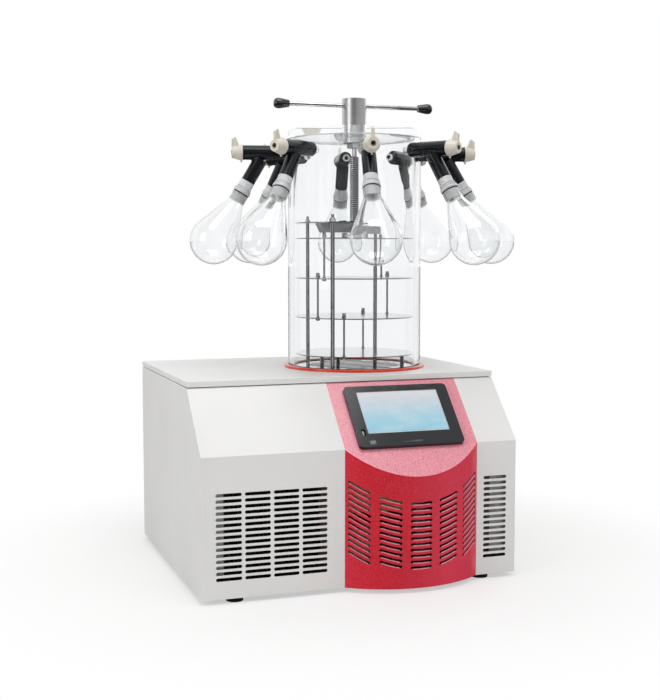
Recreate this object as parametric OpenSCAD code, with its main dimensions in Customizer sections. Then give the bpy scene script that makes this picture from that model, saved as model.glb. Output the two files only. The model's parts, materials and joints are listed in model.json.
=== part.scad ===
// Bench freeze dryer: cabinet with cold trap, clear drying chamber on top,
// shelf rack with a screw press, and eight valve ports with flasks.
// All sizes in millimetres. +Z is up, -Y is the front, z = 0 is the floor.

/* [Cabinet] */
// Width of the cabinet
cab_w = 590; // [570:5:640]
// Depth of the cabinet without the bulge
cab_d = 520; // [500:5:580]
// Height from the floor to the top of the worktop
cab_h = 371; // [360:1:390]
// Height of the rubber feet
foot_h = 8; // [6:1:20]
// Radius of the rubber feet
foot_r = 15; // [12:1:20]
// Foot centre to the side of the cabinet
foot_in_x = 62; // [50:1:80]
// Foot centre to the front or back of the cabinet
foot_in_y = 19; // [18:1:40]
// Radius of the stud on each foot
foot_stud_r = 3; // [2:0.5:4]
// Thickness of the worktop
worktop_t = 12; // [10:1:16]
// Height of the dark gap under the worktop
shadow_gap = 1.5; // [1:0.5:3]
// How far the worktop's foot stands back behind its edge
shadow_in = 7; // [4:1:12]
// Thickness of the sheet metal
sheet_t = 1.5; // [1:0.1:2]
// Height of the slant below the worktop
slant_h = 106; // [99:1:114]
// How far the slant leans back
slant_d = 102; // [95:1:110]
// Overhang of the worktop over the slant
worktop_over = 2; // [0:0.5:5]
// Distance from the front face to the seam on each side
seam_d = 126.5; // [120:0.5:140]
// Gap between neighbouring sheet panels
seam_gap = 1; // [0.5:0.1:2]
// Width of the folded edges of the panels
fold_w = 15; // [12:1:20]
// Distance of the front rail behind the top of the slant
rail_in = 4; // [3:0.5:6]
// Width of the front rail
rail_w = 14; // [10:1:18]
// Height of the front rail
rail_h = 12; // [8:1:14]
// Thickness of the base tray
tray_t = 2; // [1.5:0.5:4]
// Height of the lip of the base tray
tray_lip = 20; // [15:1:25]

/* [Red panel] */
// Distance of the panel from the right side of the cabinet
red_in = 78.4; // [76:0.2:84]
// Width of the panel
red_w = 254.6; // [250:0.2:260]
// How far the panel bulges out at its middle
bulge = 45; // [40:1:50]

/* [Grilles] */
// Length of a slot
slot_l = 46; // [40:1:47]
// Height of a slot
slot_h = 6; // [4:0.5:7]
// Distance between slot rows
slot_pitch = 10.35; // [9:0.05:10.5]
// Distance between slot columns
slot_step = 51.3; // [50:0.1:53]
// Rows in the side grilles
slot_rows = 15; // [6:1:15]
// Columns in the left grille
slot_cols = 4; // [2:1:4]
// Height of the lowest slot row
slot_z = 42; // [38:1:50]
// Left end of the left grille, from the left side of the cabinet
grille_in = 25; // [20:1:33]
// Left end of the right grille, from the right side of the cabinet
grille_right_in = 64.5; // [60:0.5:67]
// Rows in the middle columns of the red panel
red_rows = 12; // [6:1:12]
// Angle of the outer edge of the outermost slots around the bulge
red_slot_end = 37.4; // [36:0.1:38]
// Height of the lowest middle slot row at the front of the bulge
red_slot_z = 44; // [42:1:50]
// Height of the slots in the red panel
red_slot_h = 5.6; // [4:0.2:6]
// Slope of the slot rows, as rise over depth
red_slot_slope = 0.975; // [0.9:0.005:1.05]

/* [Touch screen] */
// Width of the screen bezel
hmi_w = 201; // [190:1:210]
// Height of the screen bezel
hmi_h = 133.5; // [128:0.5:136]
// Distance of the bezel's lower edge from the start of the slant
hmi_v = -2.5; // [-6:0.5:2]
// How far the bezel stands out of the panel
hmi_t = 8; // [6:0.5:12]
// Corner radius of the bezel
hmi_r = 7; // [4:0.5:10]
// Depth of the housing behind the panel
hmi_body_d = 32; // [25:1:36]
// Width of the rim around the housing cut-out
hmi_rim = 6; // [5:0.5:9]
// Clearance of the housing in its cut-out
hmi_gap = 0.5; // [0.3:0.1:1]
// Width of the screen
screen_w = 158; // [150:1:164]
// Height of the screen
screen_h = 92; // [86:1:96]
// Height of the screen's middle above the bezel's middle
screen_up = 7.7; // [5:0.1:10]
// Depth of the screen below the bezel face
screen_in = 1; // [0.5:0.1:2]
// Thickness of the screen glass
screen_t = 2; // [1:0.5:3]

/* [Cold trap] */
// Distance of the chamber axis from the right side of the cabinet
axis_in = 213; // [205:1:225]
// Place of the chamber axis behind the cabinet's middle
axis_y = 18; // [10:1:30]
// How much smaller the trap's inner radius is than the chamber tube's outer radius
trap_step = 30; // [26:1:40]
// Wall of the trap
trap_wall = 1.5; // [1:0.1:2]
// Height of the trap's floor above the ground
trap_floor = 135; // [131:1:160]
// Width of the trap's flange
trap_flange_w = 24; // [20:0.5:28]
// Thickness of the trap's flange
trap_flange_t = 2; // [1.5:0.5:3]
// Thickness of the foam around the trap
foam_wall = 34.5; // [25:0.5:37]
// Thickness of the foam under the trap
foam_floor = 26; // [20:1:30]
// Radius of the refrigerant tube
coil_r = 4; // [3:0.5:4]
// Number of turns of the coil
coil_turns = 7; // [4:1:8]
// Distance between turns of the coil
coil_pitch = 18; // [14:1:20]
// Height of the lowest turn above the trap's floor
coil_up = 20; // [15:1:30]
// Radius of the capillary tube
capillary_r = 2; // [1.5:0.5:3]

/* [Chamber] */
// Thickness of the red gasket
gasket_t = 5; // [4:0.5:8]
// Reach of the red gasket outside the chamber tube
gasket_out = 8; // [4:1:12]
// Reach of the red gasket inside the chamber tube
gasket_in = 3; // [2:0.5:3.5]
// Outer radius of the chamber tube and its lid
tube_r = 130; // [128:0.5:134]
// Wall of the chamber tube
tube_wall = 10; // [8:0.5:11]
// Height of the chamber tube
tube_h = 438; // [425:1:460]
// Thickness of the lid seal
seal_t = 2; // [1.5:0.5:3]
// Width of the lid seal
seal_w = 7; // [5:0.5:7]
// Thickness of the lid
lid_t = 14; // [12:1:20]

/* [Ports and valves] */
// Number of ports
ports = 8; // [8:1:8]
// Direction of the first port
port_a = 257.6; // [250:0.2:265]
// Distance from the port axis down from the tube's top edge
port_down = 26.5; // [25:0.5:40]
// Outer radius of the port nipple
nipple_r = 7; // [5:0.5:8]
// Bore radius of the port nipple
nipple_bore_r = 4; // [2:0.5:4.5]
// Length of nipple inside the chamber wall
nipple_in = 3; // [0:0.5:6]
// Length of nipple in the valve
nipple_out = 26; // [20:1:30]
// Clearance between the valve body and the tube
valve_gap = 0.5; // [0.3:0.1:0.8]
// Radius of the rubber valve body
valve_r = 14; // [13:0.5:15]
// Length of the rubber valve body
valve_l = 87.5; // [84:0.5:92]
// Rounding of the inner end of the valve body
valve_round = 6; // [3:0.5:8]
// Distance from the valve's inner end to the branch
branch_at = 45; // [42:0.5:48]
// Radius of the branch
branch_r = 13.5; // [12.5:0.5:13.5]
// Length of the branch from the valve axis
branch_l = 65; // [60:1:70]
// Lean of the branch from the vertical
branch_lean = 30.5; // [26:0.5:35]
// Radius of the plug of the valve knob
plug_r = 8; // [7:0.5:9]
// Length of the plug in the valve
plug_l = 50; // [46:1:54]
// Radius of the passage in plug, branch and adapter
passage_r = 4; // [3:0.5:4]
// Radius of the knob at the valve
knob_r = 15.5; // [14.5:0.5:16.5]
// Radius of the knob at its outer face
knob_end_r = 10.5; // [9:0.5:12]
// Length of the knob
knob_l = 21; // [18:0.5:24]
// Height of the knob's wing above its axis
wing_h = 30; // [24:0.5:32]
// Thickness of the knob's wing
wing_t = 5; // [4:0.5:7]
// Radius of the vent hole in the knob
vent_r = 3.2; // [2:0.1:4]
// Turning angle of a valve knob, used by its joint
knob_turn = 180; // [90:5:180]

/* [Flasks] */
// Length of the upper part of the joint adapter
adapter_l = 18; // [15:1:22]
// Outer radius of the upper part of the adapter
adapter_r = 13.8; // [13:0.1:14.5]
// Radius of the adapter's plug in the branch
adapter_stem_r = 9; // [7:0.5:10]
// Length of the adapter's plug in the branch
adapter_stem_l = 20; // [15:1:22]
// Radius of the adapter's ring
adapter_ring_r = 17; // [16:0.5:18]
// Thickness of the adapter's ring
adapter_ring_t = 7; // [5:0.5:9]
// Thickness of the black seal under the ring
joint_seal_t = 2; // [1.5:0.5:3]
// Outer radius of the flask's neck
neck_r = 15.8; // [15.5:0.1:16.5]
// Length of the flask's ground neck
neck_l = 19; // [17:0.5:24]
// Bore radius of the neck at its mouth
neck_bore_r = 13.6; // [13:0.1:14]
// Radius of the flask's bulb
bulb_r = 46.5; // [42:0.5:48]
// Distance from the neck's mouth to the bulb's middle
bulb_at = 104; // [98:1:108]
// Wall of the flask
flask_wall = 1.8; // [1.5:0.1:2.5]

/* [Shelf rack] */
// Thickness of the rack's base plate
rack_base_t = 3; // [2:0.5:5]
// Gap between the shelves and the chamber wall
shelf_gap = 4; // [3:0.5:6]
// How much smaller the rack's base plate is than the shelves, in radius
rack_base_in = 1; // [1:0.5:4]
// Thickness of the shelves
shelf_t = 2; // [1.5:0.5:3]
// Height of the fixed bottom shelf above the base plate
shelf_d_up = 22.5; // [18:0.5:28]
// Distance from shelf D up to shelf C
pitch_dc = 72.5; // [65:0.5:80]
// Distance from shelf C up to shelf B
pitch_cb = 75.5; // [65:0.5:80]
// Distance from shelf B up to the pressing plate A
pitch_ba = 76.5; // [65:0.5:80]
// Radius of the legs under the bottom shelf
leg_r = 4; // [3:0.5:5]
// Distance of the legs from the edge of the base plate
leg_in = 20; // [15:1:30]
// Radius of the main posts
post_r = 4; // [3.5:0.5:4.5]
// Distance of the main posts from the edge of the shelves
post_in = 7; // [6:0.5:9]
// Directions of the main posts: rear left, front left, rear right
post_left_a = 130; // [126:1:136]
// Direction of the front left post
post_front_a = 228; // [222:1:232]
// Direction of the rear right post
post_right_a = 46; // [42:1:52]
// Radius of the studs on top of the posts
stud_r = 3; // [2.5:0.5:3]
// Height of the studs above their plate
stud_up = 14; // [12:1:18]
// Width across the flats of the post nuts
post_nut_w = 11; // [10:0.5:13]
// Thickness of the post nuts
post_nut_t = 5; // [4:0.5:6]
// Radius of the lift rods
rod_r = 2; // [1.5:0.5:2.5]
// Distance of the lift rods from the edge of the shelves
rod_in = 9; // [8:0.5:12]
// Direction of the rods between A and B
rod_ab_a = 38; // [34:1:40]
// Direction of the rods between B and C
rod_bc_a = 30; // [26:1:34]
// Direction of the rods between C and D
rod_cd_a = 59.5; // [56:0.5:66]
// Height of the rod heads above their shelf
rod_head_h = 10; // [8:0.5:12]
// Radius of the nut on each lift rod
rod_nut_r = 4.2; // [3.8:0.1:4.6]
// Thickness of the nut on each lift rod
rod_nut_t = 4.5; // [3:0.5:5]

/* [Screw press] */
// Height of the pressing pad
pad_h = 10; // [8:0.5:14]
// Radius of the pressing pad
pad_r = 25; // [22:0.5:28]
// Gap between the pad and the yoke when raised
pad_gap = 1; // [0.5:0.5:3]
// Thickness of the yoke
yoke_t = 17; // [14:0.5:20]
// Radius of the yoke's hub
yoke_r = 22; // [18:0.5:24]
// Width of the yoke's plate arm
yoke_arm_w = 34; // [28:1:38]
// Reach of the yoke's plate arm
yoke_arm_l = 75; // [65:1:80]
// Length of the bevel at the end of the plate arm
yoke_bevel = 9; // [6:1:12]
// Width of the yoke's post arm
yoke_post_w = 24; // [20:1:28]
// Thickness of the rack's top plate
top_plate_t = 2; // [1.5:0.5:3]
// Radius of the lead screw's crests
screw_r = 10; // [9:0.5:12]
// Depth of the lead screw's thread
thread_d = 2; // [1.5:0.25:2.5]
// Pitch of the lead screw
thread_pitch = 4; // [3:0.5:5]
// Gap between the top of the lead screw and the gland nut
screw_gap = 16.5; // [10:0.5:24]
// Radius of the lead screw's neck in the pad
screw_neck_r = 7; // [5:0.5:8]
// Radius of the foot of the lead screw
screw_foot_r = 11; // [9.5:0.5:13]
// Thickness of the foot of the lead screw
screw_foot_t = 3; // [2:0.5:4]
// Travel of the pressing plate, used by its joint
press_travel = 30; // [20:1:35]
// Radius of the drive shaft
shaft_r = 4.5; // [4:0.5:5.5]
// Corner radius of the drive shaft's six-sided end
shaft_hex_r = 4.4; // [3.8:0.1:5]
// Clearance of the six-sided end in the lead screw
shaft_hex_gap = 0.4; // [0.3:0.05:0.6]
// Reach of the drive shaft into the lead screw
shaft_in = 66; // [50:1:70]

/* [Handle] */
// Radius of the gland in the lid
gland_r = 20; // [16:0.5:22]
// Height of the gland above the lid
gland_up = 9.7; // [6:0.1:14]
// Radius of the gland's collar under the lid
collar_r = 23; // [21:0.5:26]
// Thickness of the gland's collar
collar_t = 9; // [5:0.5:12]
// Radius of the gland's tail
tail_r = 11; // [8:0.5:12]
// Width across the flats of the gland nut
gland_nut_w = 27; // [25:0.5:32]
// Thickness of the gland nut
gland_nut_t = 9.5; // [6:0.5:12]
// Radius of the handle's hub
hub_r = 24; // [20:0.5:26]
// Height of the handle's hub
hub_h = 53; // [45:1:60]
// Height of the bar above the hub's lower face
bar_up = 39; // [30:1:42]
// Radius of the bar
bar_r = 4; // [3.5:0.5:5]
// Half length of the bar
bar_half = 150; // [120:1:160]
// Radius of the bar caps at the bar
cap_r = 7; // [6:0.5:8]
// Radius of the bar caps near their end
cap_end_r = 10; // [8.5:0.5:12]
// Length of the bar caps
cap_l = 30; // [25:1:35]
// Cover of the bar caps beyond the bar
cap_over = 14; // [12.5:0.5:20]

/* [Refrigeration] */
// Distance of the compressor's middle from the left side of the cabinet
comp_in = 130; // [120:1:135]
// Distance of the compressor's middle from the back of the cabinet
comp_back = 120; // [100:1:125]
// Radius of the compressor
comp_r = 76; // [65:1:78]
// Height of the compressor's shell
comp_h = 160; // [130:1:200]
// Rounding of the compressor's upper edge
comp_round = 20; // [12:1:30]
// Height of the compressor's rubber feet
comp_foot_h = 10; // [8:1:16]
// Distance of the condenser's middle from the left side of the cabinet
cond_left = 125; // [123:1:129]
// Width of the condenser
cond_w = 184; // [178:1:186]
// Height of the condenser
cond_h = 172; // [165:1:176]
// Thickness of the condenser
cond_t = 36; // [30:1:40]
// Gap between the front panel and the condenser
cond_in = 26; // [22:1:30]
// Radius of the fan's blades
fan_r = 72; // [60:1:76]
// Clearance around the fan's blades
fan_gap = 4; // [2:0.5:6]
// Radius of the fan's shaft
fan_shaft_r = 3; // [2:0.5:4]
// Number of fan blades
fan_blades = 5; // [3:1:8]
// Depth of the fan's blades
fan_t = 16; // [12:1:20]
// Radius of the fan's motor
motor_r = 24; // [20:1:28]
// Length of the fan's motor
motor_l = 35; // [30:1:45]

/* [Controller] */
// Width of the controller box
ctrl_w = 42; // [36:1:48]
// Depth of the controller box
ctrl_d = 130; // [110:5:150]
// Height of the controller box
ctrl_h = 130; // [110:5:150]
// Distance of the controller box from the right side of the cabinet
ctrl_in = 12; // [10:1:16]
// Distance of the box's front in front of the chamber axis
ctrl_front = 48; // [40:1:60]
// Width of a vent in the controller box
ctrl_vent_w = 8; // [5:0.5:10]
// Number of vents in the controller box
ctrl_vents = 6; // [3:1:6]

/* [Rear fittings] */
// Distance of the vacuum port's axis below the top of the worktop
vac_down = 61; // [56:1:66]
// Bore radius of the vacuum port
vac_bore_r = 12; // [10:0.5:13]
// Wall of the vacuum pipe
vac_wall = 2; // [1.5:0.5:3]
// Radius of the vacuum port's flange
vac_flange_r = 20; // [18:0.5:22]
// Reach of the vacuum port behind the cabinet
vac_out = 30; // [25:1:45]
// Height of the drain
drain_z = 62; // [50:1:75]
// Outer radius of the drain pipe
drain_r = 6; // [5:0.5:8]
// Bore radius of the drain pipe
drain_bore_r = 4; // [3:0.5:4.5]
// Reach of the drain's hose nozzle behind the cabinet
drain_out = 58; // [54:1:70]
// Distance of the drain valve's stem behind the cabinet
drain_valve_at = 18; // [17:0.5:20]
// Turning angle of the drain lever, used by its joint
drain_turn = 90; // [90:5:90]
// Distance of the power inlet from the left side of the cabinet
inlet_in = 80; // [75:1:90]
// Height of the power inlet
inlet_z = 90; // [80:1:110]
// Width of the cut-out of the power inlet
inlet_w = 28; // [26:1:30]
// Height of the cut-out of the power inlet
inlet_h = 22; // [20:1:24]
// Distance of the power switch from the left side of the cabinet
switch_in = 135; // [130:1:145]
// Width of the cut-out of the power switch
switch_w = 22; // [21:1:24]
// Height of the cut-out of the power switch
switch_h = 28; // [27:1:30]
// Rocking angle of the power switch, used by its joint
switch_turn = 16; // [12:1:20]

/* [Fits] */
// Radial clearance of turning fits
run_gap = 0.05; // [0.03:0.01:0.1]
// Clearance of pieces that are fixed in one another
seat_gap = 0.1; // [0.05:0.05:0.2]
// Clearance between shelves and the posts or rods they slide on
slide_gap = 0.6; // [0.4:0.1:1]

/* [Hidden] */
$fn = 64;
e = 0.01;

// heights along the branch: adapter ring, seal and the flask's mouth
t_ring = branch_l + adapter_l;
t_seal = t_ring + adapter_ring_t;
t_mouth = t_seal + joint_seal_t;
cone_l = neck_l - 3;

// places that follow the sides of the cabinet
axis_x = cab_w / 2 - axis_in;
red_x = cab_w / 2 - red_in - red_w;
grille_x = grille_in - cab_w / 2;
grille_right_x = cab_w / 2 - grille_right_in;
comp_x = comp_in - cab_w / 2;
comp_y = cab_d / 2 - comp_back;
cond_x = cond_left - cab_w / 2;
inlet_x = inlet_in - cab_w / 2;
switch_x = switch_in - cab_w / 2;

// radii that follow the chamber tube
gasket_r = tube_r + gasket_out;
gasket_in_r = tube_r - tube_wall - gasket_in;
shelf_r = tube_r - tube_wall - shelf_gap;
rack_base_r = shelf_r - rack_base_in;
leg_circle = rack_base_r - leg_in;
post_circle = shelf_r - post_in;
rod_circle = shelf_r - rod_in;
trap_r = tube_r - trap_step;

// place of the cabinet: the origin is under the middle of the whole object
bulb_out = tube_r + valve_gap + branch_at + (t_mouth + bulb_at) * sin(branch_lean);
bulb_x = [for (i = [0 : ports - 1]) axis_x + bulb_out * cos(port_a + i * 360 / ports)];
bulb_y = [for (i = [0 : ports - 1]) axis_y + bulb_out * sin(port_a + i * 360 / ports)];
cab_x = -(max(cab_w / 2, max(bulb_x) + bulb_r) + min(-cab_w / 2, min(bulb_x) - bulb_r)) / 2;
cab_y = -(max(cab_d / 2 + drain_out, max(bulb_y) + bulb_r)
  + min(-cab_d / 2 - bulge, min(bulb_y) - bulb_r)) / 2;
chamber_x = cab_x + axis_x;
chamber_y = cab_y + axis_y;

// cabinet planes
x_right = cab_x + cab_w / 2;
x_left = cab_x - cab_w / 2;
y_front = cab_y - cab_d / 2;
y_back = cab_y + cab_d / 2;
red_x1 = cab_x + red_x;
grille_x1 = cab_x + grille_x;
grille_x2 = cab_x + grille_right_x;
compressor_x = cab_x + comp_x;
compressor_y = cab_y + comp_y;
condenser_x = cab_x + cond_x;
inlet_x1 = cab_x + inlet_x;
switch_x1 = cab_x + switch_x;
z_lid = cab_h - worktop_t;
front_h = z_lid - slant_h;
slant_a = atan2(slant_d, z_lid - front_h);
y_slant = y_front + slant_d;
y_seam = y_front + seam_d;
z_tray = foot_h + tray_t;
red_x2 = red_x1 + red_w;
red_mid = red_x1 + red_w / 2;
bulge_r = (red_w * red_w / 4 + bulge * bulge) / (2 * bulge);
bulge_y = y_front - bulge + bulge_r;

// heights of the chamber
z_tube = cab_h + gasket_t;
z_seal = z_tube + tube_h;
z_cover = z_seal + seal_t;
z_cover_top = z_cover + lid_t;
z_port = z_seal - port_down;

// heights of the rack
z_base = cab_h + rack_base_t;
z_d = z_base + shelf_d_up;
z_c = z_d + pitch_dc;
z_b = z_c + pitch_cb;
z_a = z_b + pitch_ba;
z_pad = z_a + shelf_t;
z_pad_top = z_pad + pad_h;
z_yoke = z_pad_top + pad_gap;
z_yoke_top = z_yoke + yoke_t;
z_plate_top = z_yoke_top + top_plate_t;
z_screw_top = z_cover - collar_t - gland_nut_t - screw_gap;
screw_l = z_screw_top - z_pad_top;
z_hub = z_cover_top + gland_up + 0.3;
plate_dir = (post_left_a + post_front_a) / 2;

// heights of the trap
z_trap = trap_floor;
trap_depth = cab_h - z_trap;
vac_z = cab_h - vac_down;
trap_out_r = trap_r + trap_wall;
trap_flange_r = trap_out_r + trap_flange_w;
foam_in_r = trap_out_r + 2 * coil_r + 2 * seat_gap + 0.8;
foam_r = foam_in_r + foam_wall;
z_foam = z_trap - trap_wall - foam_floor;
coil_mid_r = trap_out_r + coil_r + seat_gap;
z_coil = z_trap + coil_up;
z_coil_top = z_coil + (coil_turns - 1) * coil_pitch;

// planes behind the left grille
y_cond = y_front + sheet_t + cond_in;
y_fan = y_cond + cond_t + 2;
z_fan = z_tray + 4 + cond_h / 2;

// colours
white = [0.86, 0.86, 0.85];
red = [0.72, 0.05, 0.10];
steel = [0.70, 0.71, 0.72];
black = [0.04, 0.04, 0.045];
clear = [0.90, 0.94, 0.96, 0.35];

// ---------- helpers ----------

// places children on the slant: x sideways, z up the slant, -y outward
module on_slant() {
  translate([0, y_front, front_h]) rotate([-slant_a, 0, 0]) children();
}

// places children on the chamber axis
module on_axis(z = 0) {
  translate([chamber_x, chamber_y, z]) children();
}

// extrudes a YZ outline from x1 to x2
module along_x(x1, x2) {
  translate([x1, 0, 0]) rotate([90, 0, 90]) linear_extrude(height = x2 - x1) children();
}

// outline of the cabinet front, moved inward by d
module front_outline(d, yb, zb) {
  polygon([[y_front + d, zb], [y_front + d, front_h - d * tan(slant_a / 2)],
    [y_slant + d / cos(slant_a), z_lid], [yb, z_lid], [yb, zb]]);
}

// round-ended slot through a sheet that faces -Y, starting at its left end
module slot(l, h, depth) {
  rotate([90, 0, 0]) linear_extrude(height = depth, center = true) {
    translate([h / 2, -h / 2]) square([l - h, h]);
    translate([h / 2, 0]) circle(d = h, $fn = 24);
    translate([l - h / 2, 0]) circle(d = h, $fn = 24);
  }
}

// bar with one rounded end at z = 0
module round_bar(r, l, f) {
  rotate_extrude() {
    square([r - f, l]);
    translate([0, f]) square([r, l - f]);
    intersection() {
      translate([r - f, f]) circle(r = f, $fn = 32);
      square([r, l]);
    }
  }
}

// round tube between two points
module pipe(a, b, r) {
  v = b - a;
  l = norm(v);
  translate(a) rotate([0, acos(v[2] / l), atan2(v[1], v[0])]) cylinder(r = r, h = l, $fn = 32);
}

// pipe through a list of points with round corners
module pipe_run(pts, r) {
  for (i = [0 : len(pts) - 2]) pipe(pts[i], pts[i + 1], r);
  for (i = [1 : len(pts) - 2]) translate(pts[i]) sphere(r = r, $fn = 32);
}

// hexagon prism by its width across flats
module hex(w, h) {
  cylinder(r = w / 2 / cos(30), h = h, $fn = 6);
}

// ---------- cabinet ----------

module chassis() {
  x1 = x_left + sheet_t + seat_gap;
  y1 = y_front + sheet_t + seat_gap;
  y2 = y_back - sheet_t - seat_gap;
  w = cab_w - 2 * (sheet_t + seat_gap);
  d = y2 - y1;
  leg = 20;
  stand_half = foam_r - 35;
  stand_t = 3;
  stand_hole_r = 40;
  leg_at = stand_half - leg / 2 - 2;
  post_w = 2;
  post_d = 28;
  post_y = y1 + 6;
  color(steel) {
    difference() {
      translate([x1, y1, foot_h]) cube([w, d, tray_t + tray_lip]);
      translate([x1 + tray_t, y1 + tray_t, z_tray]) cube([w - 2 * tray_t, d - 2 * tray_t, tray_lip + 1]);
      for (sx = [-1, 1], sy = [-1, 1])
        translate([cab_x + sx * (cab_w / 2 - foot_in_x), cab_y + sy * (cab_d / 2 - foot_in_y), foot_h - 1])
          cylinder(r = foot_stud_r + seat_gap, h = tray_t + 2);
    }
    // stand under the cold trap
    difference() {
      on_axis(z_foam - stand_t) translate([-stand_half, -stand_half, 0])
        cube([2 * stand_half, 2 * stand_half, stand_t]);
      on_axis(z_foam - stand_t - 1) cylinder(r = stand_hole_r, h = stand_t + 2);
    }
    for (sx = [-1, 1], sy = [-1, 1])
      on_axis(z_tray - e) translate([sx * leg_at - leg / 2, sy * leg_at - leg / 2, 0])
        cube([leg, leg, z_foam - stand_t - z_tray + 2 * e]);
    // uprights behind the two grilles
    for (s = [-1, 1]) {
      xw = cab_x + s * (cab_w / 2 - sheet_t - seat_gap - tray_t - 4);
      shield_w = s < 0 ? 34 : 42;
      translate([xw - post_w / 2, post_y, z_tray - e]) cube([post_w, post_d, front_h - z_tray - 4]);
      translate([s < 0 ? xw - post_w / 2 : xw + post_w / 2 - shield_w, post_y, slot_z + 5])
        cube([shield_w, post_w, front_h - slot_z - 9]);
    }
  }
}

module feet() {
  color(black)
    for (sx = [-1, 1], sy = [-1, 1])
      translate([cab_x + sx * (cab_w / 2 - foot_in_x), cab_y + sy * (cab_d / 2 - foot_in_y), 0]) {
        cylinder(r = foot_r, h = foot_h);
        cylinder(r = foot_stud_r, h = z_tray + 6);
        translate([0, 0, z_tray]) hex(10, 4);
      }
}

// one side of the white front, from the outer side x1 to the red panel at x2
module front_half(x1, x2) {
  s = x1 < x2 ? 1 : -1;
  a = min(x1, x2);
  b = max(x1, x2);
  difference() {
    along_x(a, b) front_outline(0, y_seam, foot_h);
    along_x(a + (s > 0 ? sheet_t : -1), b + (s > 0 ? 1 : -sheet_t))
      front_outline(sheet_t, y_seam + 1, foot_h - 1);
  }
  // folded edge beside the red panel
  difference() {
    along_x(s > 0 ? b - sheet_t : a, s > 0 ? b : a + sheet_t)
      difference() {
        front_outline(0, y_seam, z_tray + tray_lip + 2);
        front_outline(fold_w, y_seam + 1, 0);
      }
  }
}

module front_cover() {
  color(white)
    difference() {
      union() {
        front_half(x_left, red_x1);
        front_half(x_right, red_x2);
        // rail under the worktop that joins both sides
        translate([red_x1 - sheet_t, y_slant + rail_in, z_lid - rail_h])
          cube([red_w + 2 * sheet_t, rail_w, rail_h]);
      }
      for (c = [0 : slot_cols - 1], r = [0 : slot_rows - 1])
        translate([grille_x1 + c * slot_step, y_front, slot_z + r * slot_pitch])
          slot(slot_l, slot_h, 4 * sheet_t);
      for (r = [0 : slot_rows - 1])
        translate([grille_x2, y_front, slot_z + r * slot_pitch]) slot(slot_l, slot_h, 4 * sheet_t);
    }
}

// solid of the red panel, moved inward by d
module red_solid(d, low) {
  reach = bulge + 20;
  intersection() {
    union() {
      intersection() {
        translate([red_mid, bulge_y, foot_h + d]) cylinder(r = bulge_r - d, h = cab_h, $fn = 128);
        translate([red_x1 + d, y_front - reach, 0]) cube([red_w - 2 * d, reach + e, cab_h]);
      }
      translate([red_x1 + d, y_front, low]) cube([red_w - 2 * d, slant_d + 60, cab_h]);
    }
    along_x(red_x1 - 1, red_x2 + 1)
      polygon([[y_front - reach, 0], [y_front - reach, front_h - (reach * cos(slant_a) + d) / sin(slant_a)],
        [y_slant + d / cos(slant_a), z_lid], [y_seam + 10, z_lid], [y_seam + 10, 0]]);
  }
}

// angular start and length of a slot column in the red panel
function col_start(c) = -red_slot_end + c * (2 * red_slot_end + col_gap) / 5;
col_gap = 4.2;
col_span = (2 * red_slot_end + col_gap) / 5 - col_gap;

module red_slots() {
  far = bulge_r + 5;
  for (c = [0 : 4]) {
    a0 = col_start(c);
    extra = (c == 0 || c == 4) ? 1 : 0;
    slope0 = atan(red_slot_slope * sin(abs(a0)));
    slope1 = atan(red_slot_slope * sin(abs(a0 + col_span)));
    in0 = asin(red_slot_h * cos(slope0) / 2 / bulge_r);
    in1 = asin(red_slot_h * cos(slope1) / 2 / bulge_r);
    for (r = [-extra : red_rows - 1]) {
      z0 = red_slot_z + r * slot_pitch;
      // body of the slot: a wedge of the sloping slab
      intersection() {
        translate([red_mid, bulge_y, 0]) linear_extrude(height = cab_h)
          polygon([[0, 0], far * [sin(a0 + in0), -cos(a0 + in0)],
            1.05 * far * [sin(a0 + col_span / 2), -cos(a0 + col_span / 2)],
            far * [sin(a0 + col_span - in1), -cos(a0 + col_span - in1)]]);
        along_x(red_x1, red_x2)
          polygon([for (k = [[0, -1], [0, 1], [60, 1], [60, -1]])
            [y_front - bulge - 5 + k[0], z0 + (k[0] - 5) * red_slot_slope + k[1] * red_slot_h / 2]]);
      }
      // round ends
      for (q = [[a0 + in0, slope0], [a0 + col_span - in1, slope1]])
        translate([red_mid, bulge_y, z0 + bulge_r * (1 - cos(q[0])) * red_slot_slope])
          rotate([90, 0, q[0]]) translate([0, 0, bulge_r - 20])
            cylinder(d = red_slot_h * cos(q[1]), h = 30, $fn = 20);
    }
  }
}

module red_panel() {
  color(red)
    difference() {
      red_solid(0, foot_h);
      red_solid(sheet_t, foot_h - 1);
      // only the folded edges reach behind the skin
      along_x(red_x1 - 1, red_x2 + 1) front_outline(fold_w, y_seam + 20, foot_h - 1);
      translate([red_x1 - 1, y_front + sheet_t, 0]) cube([red_w + 2, 60, z_tray + tray_lip + 2]);
      red_slots();
      // notch for the rail under the worktop
      translate([red_x1 - 1, y_slant + rail_in - hmi_gap, z_lid - rail_h - hmi_gap]) cube([red_w + 2, 60, rail_h + 1]);
      // cut-out for the screen housing
      on_slant() translate([red_mid - hmi_w / 2 + hmi_rim, -5, hmi_v + hmi_rim])
        cube([hmi_w - 2 * hmi_rim, 30, hmi_h - 2 * hmi_rim]);
    }
}

module side_cover(s) {
  color(white)
    difference() {
      translate([s < 0 ? x_left : x_right - fold_w, y_seam + seam_gap, foot_h])
        cube([fold_w, y_back - y_seam - seam_gap, z_lid - foot_h]);
      translate([s < 0 ? x_left + sheet_t : x_right - fold_w - 1, y_seam, foot_h - 1])
        cube([fold_w - sheet_t + 1, y_back - y_seam + 1, z_lid - foot_h + 1 - sheet_t]);
    }
}

module side_cover_left() { side_cover(-1); }

module side_cover_right() { side_cover(1); }

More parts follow.
